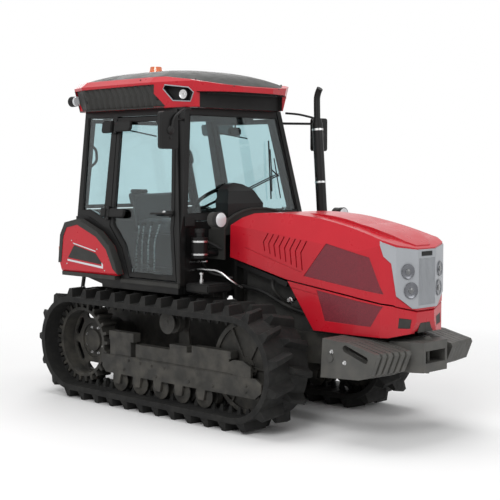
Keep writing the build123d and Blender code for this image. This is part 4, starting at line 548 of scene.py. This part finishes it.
# Fenders: grey border, slanted insert with bright edges, tail lamps
border = Kit("fender_borders", "roof_grey", CHASSIS, CHASSIS)
inner = drawn_in(FENDER, 36)[1:]
border.plate(drawn_in(FENDER, -2)[1:] + list(reversed(inner)),
             upright_layer(-606.3), upright_layer(-665.5), 3)
border.plate([(-973, 1110), (-724, 1062), (-641, 983), (-1047, 1016)],
             upright_layer(-661), upright_layer(-664), 1.2)
border.close()
edging = Kit("fender_edging", "lamp_lens", CHASSIS, CHASSIS)
edging.plate([(-988, 1128), (-724, 1080), (-724, 1072), (-978, 1118)],
             upright_layer(-661), upright_layer(-664.5), 1)
edging.plate([(-1054, 1006), (-652, 972), (-656, 1000), (-640, 986), (-640, 956), (-1052, 992)],
             upright_layer(-661), upright_layer(-664.5), 1)
edging.close()
studs = Kit("fender_studs", "bright_steel", CHASSIS, CHASSIS)
for x, z in ((-1002, 1142), (-706, 1092), (-622, 944), (-1060, 972)):
    studs.lathe((x, -661, z), (0, -1, 0), [(0, 5), (3.5, 5), (5, 3)], 14)
studs.close()
tails = Kit("tail_lamps", "beacon_amber", CHASSIS, CHASSIS)
tails.block((-1176, -656, 1010), (-1150, -612, 1100), 8)
tails.close()

# Roof: visor lining, lamp recess edging, lamps, studs
lining = Kit("visor_lining", "wheel_plastic")
recess = [(64, -397), (94, -406), (97, -438), (188, -314), (236, -140), (236, 140), (188, 314), (97, 438),
          (94, 406), (64, 397)]
lining.plate(recess, level_layer(2176.5), level_layer(2179.5), 0.8)
for side in (-1, 1):
    lining.plate([(64, side * 397), (94, side * 406), (94, side * 404), (64, side * 395)],
                 level_layer(2077), level_layer(2179), 0.4)
lining.block((62.5, -396, 2076), (65, 396, 2179), 0.8)
for row in range(3):
    lining.tube([(90 + 30 * row, -340 + 20 * row, 2174), (90 + 30 * row, 340 - 20 * row, 2174)], 5)
lining.close()

CORNER_START = Vector((-240, -560, 2078))
CORNER_ALONG = Vector((340, 90, 0)).normalized()
CORNER_OUT = Vector((90, -340, 0)).normalized()


def on_corner(along, height, out=0.0):
    """A point on the roof's leaning front corner face."""
    lean = (172 - height) * tan(radians(13))
    return CORNER_START + CORNER_ALONG * along + CORNER_OUT * (out - lean) + Vector((0, 0, height))


lamp_recess = [(105, 126), (120, 150), (305, 128), (340, 96), (308, 39), (170, 48)]
recess_edge = Kit("lamp_recess_edging", "grille_silver", CHASSIS, CHASSIS)
recess_edge.tube([on_corner(along, height, 0.5) for along, height in drawn_in(lamp_recess, -2)], 4,
                 closed=True)
recess_edge.close()
recess_lining = Kit("lamp_recess_lining", "wheel_plastic", CHASSIS, CHASSIS)
deep = [on_corner(along, height) for along, height in drawn_in(lamp_recess, 0.4)]
floor_ring = [CORNER_START + CORNER_ALONG * along + CORNER_OUT * -59 + Vector((0, 0, height))
              for along, height in drawn_in(lamp_recess, 0.4)]
recess_lining.loft([floor_ring, [point + CORNER_OUT * 2 for point in floor_ring]])
middle = sum(deep, Vector()) / len(deep)
for index, (near, far) in enumerate(zip(deep, floor_ring)):
    near_next, far_next = deep[(index + 1) % len(deep)], floor_ring[(index + 1) % len(deep)]
    inward = (near_next - near).cross(CORNER_OUT).normalized() * 1.5
    if inward.dot(middle - near) < 0:
        inward = -inward
    wall = [near - CORNER_OUT, near_next - CORNER_OUT, far_next, far]
    recess_lining.loft([wall, [point + inward for point in wall]])
recess_lining.close()
lamp_dark = Kit("roof_lamp_rims", "wheel_plastic", CHASSIS, CHASSIS)
lamp_bowls = Kit("lamp_bowls", "bright_steel", CHASSIS, CHASSIS)
lamp_glass = Kit("lamp_lenses", "lamp_lens", CHASSIS, CHASSIS)
lamp_at = CORNER_START + CORNER_ALONG * 251 + CORNER_OUT * -34 + Vector((0, 0, 86))
lamp_dark.lathe(lamp_at, CORNER_OUT, [(-24, 38), (5, 38), (8, 36), (8, 32), (1, 31)])
lamp_bowls.lathe(lamp_at, CORNER_OUT, [(0.4, 32), (6, 31.5), (2, 20), (1, 8), (4, 4)])
lamp_dark.plate([(-1, -1), (1, -1), (1, 1), (-1, 1)],
                lambda outline: [lamp_at + CORNER_ALONG * 12 * u + Vector((0, 0, 26 * v)) + CORNER_OUT * -36
                                 for u, v in outline],
                lambda outline: [lamp_at + CORNER_ALONG * 12 * u + Vector((0, 0, 26 * v)) + CORNER_OUT * -28
                                 for u, v in outline], 1)
for x, z in ((-218, 2143), (-986, 2147)):
    spot = seat_on((x, -900, z), (0, 1, 0))
    if spot:
        lamp_dark.lathe(spot, (0, -1, 0), [(-4, 14), (3, 14), (5, 11), (5.5, 4)])
for x, z in ((-367, 2272), (70, 2262)):
    spot = seat_on((x, -900, z), (0, 1, 0))
    if spot:
        lamp_dark.lathe(spot, (0, -0.7, 0.7), [(-2, 6), (3, 6), (4, 4)], 16)
rear_lamp = Vector((-1208, -488, 2160))
lamp_dark.lathe(rear_lamp, (-1, 0, 0), [(-66, 30), (-46, 38), (2, 39), (5, 37), (5, 33), (0, 32)])
lamp_bowls.lathe(rear_lamp, (-1, 0, 0), [(0.4, 33), (3, 31), (0.6, 18), (2, 5)])

# Rear sill panel: closes the cab between the tub and the rear window's sill, with a pressed rib
sill_panel = Kit("rear_sill_panel", "cab_black")
sill_panel.block((-1017, -556, 1262), (-1003, 556, 1330), 3)
sill_panel.tube([(-1017, -540, 1295), (-1017, 540, 1295)], 3.5)
sill_panel.close()

# Roof skirts: grey below the fluted panels and round the rear corners
ROOF_PLAN = [(-1238, -370), (-1165, -500), (-1000, -560), (-240, -560), (100, -470), (215, -330), (262, -150)]
ROOF_PLAN += [(x, -y) for x, y in reversed(ROOF_PLAN)]
skirt = Kit("roof_skirts", "roof_grey", CHASSIS, CHASSIS)


def roof_skin(index, z, out=0.0):
    """A corner of the roof's leaning outline at a level, some way out from its skin."""
    x, y = drawn_in(ROOF_PLAN, (2250 - z) * tan(radians(13)) - out)[index]
    return Vector((x, y, z))


for first, second in ((0, 1), (1, 2)):
    faces = [[roof_skin(first, 2079, out), roof_skin(second, 2079, out), roof_skin(second, 2234, out),
              roof_skin(first, 2234, out)] for out in (-1, 1.6)]
    if second == 2:
        for ring in faces:
            ring[1], ring[2] = ring[0].lerp(ring[1], 0.05), ring[3].lerp(ring[2], 0.05)
    skirt.loft(faces)
skirt.block((-1000, -522.5, 2077), (-245, -512, 2087), 1)
for first, second, share in ((2, 1, 0.97), (3, 4, 0.25)):
    near = roof_skin(first, 2078, 1.5)
    far = near.lerp(roof_skin(second, 2078, 1.5), share)
    foot = ((near, 0), (far, 0), (far, 8), (near, 8))
    skirt.loft([[point + Vector((0, shift, rise)) for point, shift in foot] for rise in (-1, 9)])
skirt.close()

# Roof top: a low crowned cover that falls away to the red rim
CREST = [(-1192, 2293), (-1150, 2318), (-1085, 2340), (-1020, 2354), (-935, 2366), (-850, 2371), (-450, 2371),
         (-290, 2361), (-140, 2344), (-40, 2327), (40, 2309), (100, 2290), (147, 2272), (200, 2246),
         (238, 2226)]
RIM = [(-1192, 2286), (-160, 2288), (60, 2259), (238, 2222)]
HALVES = [(-1238, 318), (-1165, 448), (-1000, 506), (-240, 506), (100, 416), (215, 276), (250, 190)]
SPAN_STEPS = 24


def along_table(table, x):
    for (x0, value0), (x1, value1) in zip(table, table[1:]):
        if x <= x1:
            return value0 + (value1 - value0) * max(0, x - x0) / (x1 - x0)
    return table[-1][1]


cover = Kit("roof_cover", "roof_grey")
rings = []
stations = sorted({x for x, _ in CREST} | {-1165, -1000, -240, -600, 215, -760, -360})
for x in stations:
    crest, rim_z, half = (along_table(table, x) for table in (CREST, RIM, HALVES))
    ring = []
    for step in range(SPAN_STEPS + 1):
        share = 2 * step / SPAN_STEPS - 1
        ring.append((x, half * share, rim_z + (crest - rim_z) * (1 - abs(share) ** 2.6)))
    rings.append(ring + [(x, half, rim_z - 7), (x, -half, rim_z - 7)])
cover.loft(rings)
cover_piece = cover.close()
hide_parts("roof_top")

# Side lamps on the scuttle's arms: black rim and a white domed lens
lamp_dark.lathe((492, -611, 1334), (1, 0, 0), [(-30, 30), (-14, 51), (14, 52), (17, 50), (17, 46)])
lamp_glass.lathe((504, -611, 1334), (1, 0, 0), [(0, 47), (5, 46), (9, 34), (11, 16), (11.5, 2)], 40)
lamp_dark.close()
lamp_bowls.close()
lamp_glass.close()

# Headlamps: bowls with a projector, in bright rims on the nose's facets
FACET_OUT = Vector((146, -49, 0)).normalized()
bowls = Kit("headlamp_bowls", "bright_steel", "hood", "hood",
            metal("lamp_bowl", (0.17, 0.175, 0.19), (0.18, 0.3)))
projectors = Kit("headlamp_projectors", "lamp_lens", "hood", "hood",
                 lens("projector_glass", (0.07, 0.075, 0.08)))
for share, z, radius in ((0.52, 1042, 43), (0.67, 926, 46)):
    centre = Vector((1625 + 49 * share, -236 + 146 * share, z))
    bowls.lathe(centre, FACET_OUT, [(8.6, radius - 2), (9.5, radius + 4), (12, radius + 4), (14, radius + 1),
                                    (11, radius - 4), (9.8, radius * 0.6), (9.4, radius * 0.42)], 40)
    projectors.lathe(centre, FACET_OUT,
                     [(9.2, radius * 0.42), (12, radius * 0.4), (16, radius * 0.26), (17, 1)], 32)
bowls.close()
projectors.close()
slots = Kit("nose_slot", "wheel_plastic", "hood")
slots.block((1675.4, -53, 1133), (1679.2, 53, 1157), 1)
slots.close()
inlets = Kit("bumper_inlets", "roof_grey", CHASSIS, CHASSIS)
FACET_ALONG = Vector((49, 146, 0)).normalized()
inlet = [(27, 761), (117, 747), (107, 693), (19, 701)]
inlets.loft([[Vector((1625, -236, z)) + FACET_ALONG * u + FACET_OUT * out for u, z in inlet]
             for out in (-7.5, -4)])
inlets.plate([(-47, 721), (-1, 721), (-1, 663), (-76, 663)], across_layer(1666.5), across_layer(1670), 0.6)
inlets.close()

# Running gear: sprocket bolts, frame bolts, tensioner springs
bright = Kit("wheel_bolts", "bright_steel", CHASSIS, CHASSIS)
for step in range(8):
    turn = 2 * pi * (step + 0.5) / 8
    spot = seat_on((-947.5 + 100 * cos(turn), -900, 400 + 100 * sin(turn)), (0, 1, 0))
    if spot:
        bright.bolt(spot, (0, -1, 0), 15)
for x, z in ((1338, 558), (1440, 502)):
    spot = seat_on((x, -900, z), (0, 1, 0))
    if spot:
        bright.bolt(spot, (0, -1, 0), 18)
bright.close()
gear = Kit("frame_details", "running_gear_grey", CHASSIS, CHASSIS)
for x, z in ((-368, 331), (-246, 327), (-125, 322), (3, 321), (-80, 252), (-420, 262), (250, 262), (480, 262),
             (780, 300),
             (780, 262)):
    spot = seat_on((x, -900, z), (0, 1, 0))
    if spot:
        gear.bolt(spot, (0, -1, 0), 14)
gear.tube([(-503, -661, 357), (655, -661, 357)], 3)
turns, pitch = 6, 25
gear.tube([(650 + pitch * turns * step / 120, -620 + 33 * cos(2 * pi * turns * step / 120),
            394 + 33 * sin(2 * pi * turns * step / 120)) for step in range(121)], 6, sides=8)
gear.tube([(640, -620, 394), (812, -620, 394)], 12)
gear.close()

# Right of the engine's rear: air cleaner bands, fuel lines and a step box
bay = Kit("bay_pipes", "bright_steel")
for z in (1086, 1172):
    bay.lathe((183, -495, z), (0, 0, 1), [(0, 55.2), (0, 57.5), (12, 57.5), (12, 55.2)], 36)
bay.tube([(99, -505, 1034), (263, -505, 1049)], 6)
bay.tube([(98, -505, 975), (193, -505, 995), (377, -500, 992), (470, -470, 920), (470, -380, 880)], 7, 60)
bay.lathe((209, -505, 898), (0, 0, 1), [(0, 14), (26, 14), (26, 9), (60, 9), (60, 16), (72, 16), (76, 8)], 20)
bay.tube([(840, -188, 820), (840, -300, 820)], 11)
bay.lathe((840, -290, 820), (0, -1, 0), [(0, 20), (26, 20), (28, 14), (44, 14)], 6)
bay.close()
hoses = Kit("bay_hoses", "wheel_plastic")
hoses.tube([(600, -188, 960), (640, -270, 930), (668, -300, 880), (700, -250, 810), (720, -188, 780)], 12, 60)
hoses.tube([(330, -240, 870), (520, -262, 860), (760, -240, 760), (900, -188, 720)], 14, 80)
hoses.block((108, -560, 838), (332, -340, 898), 10)
hoses.tube([(183, -495, 1236), (183, -495, 1262)], 34, sides=24)
hoses.tube([(110, -430, 1140), (150, -430, 1180), (200, -380, 1150), (240, -342, 1120)], 10, 50)
hoses.tube([(110, -400, 1020), (200, -420, 960), (330, -330, 930)], 9, 50)
hoses.close()

# Driver's place: levers, pedals, armrest
levers = Kit("lever_rods", "bright_steel")
knobs = Kit("lever_knobs", "wheel_plastic")
for points in ([(-644, 925), (-640, 1118), (-607, 1218), (-616, 1262)],
               [(-585, 925), (-581, 1121), (-556, 1258)],
               [(-515, 925), (-511, 1124), (-477, 1262)], [(-445, 925), (-443, 1140), (-380, 1276)]):
    levers.tube([(x, -350, z) for x, z in points], 6.5, 40)
    x, z = points[-1]
    knobs.lathe((x, -350, z), (0, 0, 1), [(-8, 8), (0, 13), (14, 15), (22, 11), (25, 3)], 20)
levers.close()
knobs.block((-690, -395, 881), (-400, -305, 926), 8)
knobs.block((-874, -215, 1480), (-728, -158, 1510), 8)
knobs.tube([(-862, -188, 1400), (-850, -188, 1492)], 9)
for y in (-95, 60):
    knobs.block((-118, y, 960), (-104, y + 52, 1030), 4)
    knobs.tube([(-110, y + 26, 1000), (-60, y + 26, 1120), (-30, y + 26, 1150)], 7, 30)
knobs.close()

# Rear: valve block with couplers, and clamps on the exhaust
valves = Kit("rear_valves", "engine_grey")
valves.block((-1168, -140, 908), (-1018, 140, 920), 3)
valves.block((-1176, -120, 920), (-1090, 120, 978), 6)
for y in (-90, -30, 30, 90):
    valves.lathe((-1176, y, 948), (-1, 0, 0),
                 [(0, 20), (14, 20), (14, 15), (34, 15), (36, 17), (48, 17), (50, 10)], 24)
valves.close()
clamps = Kit("exhaust_clamps", "bright_steel")
for z in (1112, 1560, 1930):
    drift = -66 * (z - 1100) / 885
    clamps.lathe((460 + drift, 450, z), (-0.074, 0, 1), [(0, 37.5), (0, 40), (14, 40), (14, 37.5)], 32)
clamps.close()
hatch = Kit("beacon_ring", "wheel_plastic")
hatch.lathe((-820, 0, 2366), (0, 0, 1), [(0, 66), (9, 66), (12, 62.2)], 40)
hatch.close()

# Seat upholstery: cloth inflated over the seat's solids
VOXEL = 0.006
SWELL_LIMIT = 0.011


def evaluated(piece):
    """The piece's mesh with its modifiers applied."""
    graph = bpy.context.evaluated_depsgraph_get()
    return bpy.data.meshes.new_from_object(piece.evaluated_get(graph))


def upholstered(name, node):
    source = frame["nodes"][node]
    data = source.data.copy()
    data.transform(source.matrix_world)
    low = Vector([min(v.co[i] for v in data.vertices) for i in range(3)])
    high = Vector([max(v.co[i] for v in data.vertices) for i in range(3)])
    centre = (low + high) / 2
    for v in data.vertices:
        v.co = centre + Vector([(v.co[i] - centre[i]) * (1 - 0.008 / (high[i] - low[i])) for i in range(3)])
    pad = bpy.data.objects.new(name, data)
    bpy.context.collection.objects.link(pad)
    voxels = pad.modifiers.new("voxels", "REMESH")
    voxels.mode = "VOXEL"
    voxels.voxel_size = VOXEL
    pad.data = evaluated(pad)
    pad.modifiers.clear()
    start = [v.co.copy() for v in pad.data.vertices]
    cloth = pad.modifiers.new("cloth", "CLOTH")
    cloth.settings.use_pressure = True
    cloth.settings.uniform_pressure_force = 4
    cloth.settings.effector_weights.gravity = 0
    for number in range(1, 21):
        bpy.context.scene.frame_set(number)
    swollen = evaluated(pad)
    pad.modifiers.clear()
    pad.data = swollen
    for v, rest in zip(pad.data.vertices, start):
        shift = v.co - rest
        if shift.length > SWELL_LIMIT:
            v.co = rest + shift * (SWELL_LIMIT / shift.length)
    bpy.context.scene.frame_set(1)
    smooth = pad.modifiers.new("smooth", "SUBSURF")
    smooth.levels = smooth.render_levels = 1
    pad.data = evaluated(pad)
    pad.modifiers.clear()
    pad.data.polygons.foreach_set("use_smooth", [True] * len(pad.data.polygons))
    pad.data.materials.clear()
    pad.data.materials.append(FINISHES["seat_fabric"])
    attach(pad, CHASSIS)
    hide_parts(node)


upholstered("seat_cushion_cover", "seat_cushion")
upholstered("seat_back_cover", "seat_back")


# Studio

CAMERA_PLACE = Vector((5.933, -5.869, 1.655))
CAMERA_AZIMUTH = radians(44.49)
CAMERA_DROP = radians(3.897)
CAMERA_ROLL = radians(0.061)
FOCAL_IN_PIXELS = 1179.57
IMAGE_WIDTH = 500
SENSOR_WIDTH = 36.0
FLOOR_HALF = 40.0
FLOOR_FADE_START = 2.6
FLOOR_FADE_END = 4.6


def studio():
    world = bpy.data.worlds.new("studio")
    world.use_nodes = True
    bpy.context.scene.world = world
    tree = world.node_tree
    background = tree.nodes["Background"]
    background.inputs["Color"].default_value = (1, 1, 1, 1)
    rays = tree.nodes.new("ShaderNodeLightPath")
    seen = tree.nodes.new("ShaderNodeMath")
    seen.operation = "MAXIMUM"
    tree.links.new(rays.outputs["Is Camera Ray"], seen.inputs[0])
    tree.links.new(rays.outputs["Is Glossy Ray"], seen.inputs[1])
    either = tree.nodes.new("ShaderNodeMath")
    either.operation = "MAXIMUM"
    tree.links.new(seen.outputs[0], either.inputs[0])
    tree.links.new(rays.outputs["Is Transmission Ray"], either.inputs[1])
    level = tree.nodes.new("ShaderNodeMapRange")
    level.inputs["To Min"].default_value = 0.45
    level.inputs["To Max"].default_value = 1.0
    tree.links.new(either.outputs[0], level.inputs["Value"])
    tree.links.new(level.outputs["Result"], background.inputs["Strength"])

    mesh = bpy.data.meshes.new("studio_floor")
    corners = [(-FLOOR_HALF, -FLOOR_HALF), (FLOOR_HALF, -FLOOR_HALF), (FLOOR_HALF, FLOOR_HALF),
               (-FLOOR_HALF, FLOOR_HALF)]
    mesh.from_pydata([(x, y, 0) for x, y in corners], [], [(0, 1, 2, 3)])
    floor = bpy.data.objects.new("studio_floor", mesh)
    bpy.context.collection.objects.link(floor)
    finish = Finish("studio_floor")
    finish.set(Base_Color=(0.93, 0.93, 0.93, 1), Roughness=0.9, Specular_IOR_Level=0.1)
    length = finish.node("ShaderNodeVectorMath", operation="LENGTH")
    finish.link(finish.place, length.inputs[0])
    far = finish.span(length.outputs["Value"], FLOOR_FADE_START, FLOOR_FADE_END)
    glow = finish.node("ShaderNodeEmission")
    blend = finish.node("ShaderNodeMixShader")
    finish.link(far, blend.inputs[0])
    finish.link(finish.shader.outputs[0], blend.inputs[1])
    finish.link(glow.outputs[0], blend.inputs[2])
    plain = finish.node("ShaderNodeMixShader")
    paths = finish.node("ShaderNodeLightPath")
    shown = finish.math("MAXIMUM", paths.outputs["Is Camera Ray"], paths.outputs["Is Glossy Ray"])
    shown = finish.math("MAXIMUM", shown, paths.outputs["Is Transmission Ray"])
    finish.link(shown, plain.inputs[0])
    finish.link(finish.shader.outputs[0], plain.inputs[1])
    finish.link(blend.outputs[0], plain.inputs[2])
    finish.link(plain.outputs[0], finish.tree.nodes["Material Output"].inputs["Surface"])
    mesh.materials.append(finish.material)

    # name, place, aim, width, height, watts
    softboxes = [
        ("key", (3.5, -6.5, 5.5), (0, 0, 1.0), 4.0, 3.0, 300),
        ("front", (7.0, 1.5, 3.5), (0.5, 0, 1.0), 3.0, 3.0, 70),
        ("top", (-0.5, 0.0, 7.5), (0, 0, 0), 5.0, 4.0, 240),
        ("back", (-6.0, 4.0, 4.0), (0, 0, 1.2), 4.0, 3.0, 110),
    ]
    for name, place, aim, width, height, watts in softboxes:
        light = bpy.data.lights.new(name, "AREA")
        light.shape = "RECTANGLE"
        light.size, light.size_y, light.energy = width, height, watts
        lamp = bpy.data.objects.new(name, light)
        lamp.location = place
        lamp.rotation_euler = (Vector(aim) - Vector(place)).to_track_quat("-Z", "Y").to_euler()
        bpy.context.collection.objects.link(lamp)


def photograph_camera():
    forward = Vector((-sin(CAMERA_AZIMUTH) * cos(CAMERA_DROP), cos(CAMERA_AZIMUTH) * cos(CAMERA_DROP),
                      -sin(CAMERA_DROP)))
    across = forward.cross(Vector((0, 0, 1))).normalized()
    upward = across.cross(forward)
    turn = Matrix.Rotation(CAMERA_ROLL, 3, forward)
    axes = Matrix((turn @ across, turn @ upward, -forward)).transposed()
    data = bpy.data.cameras.new("photograph_camera")
    data.sensor_width = SENSOR_WIDTH
    data.lens = FOCAL_IN_PIXELS * SENSOR_WIDTH / IMAGE_WIDTH
    camera = bpy.data.objects.new("photograph_camera", data)
    camera.matrix_world = Matrix.Translation(CAMERA_PLACE) @ axes.to_4x4()
    bpy.context.collection.objects.link(camera)
    bpy.context.scene.camera = camera


studio()
photograph_camera()
bpy.context.scene.view_settings.view_transform = "Standard"
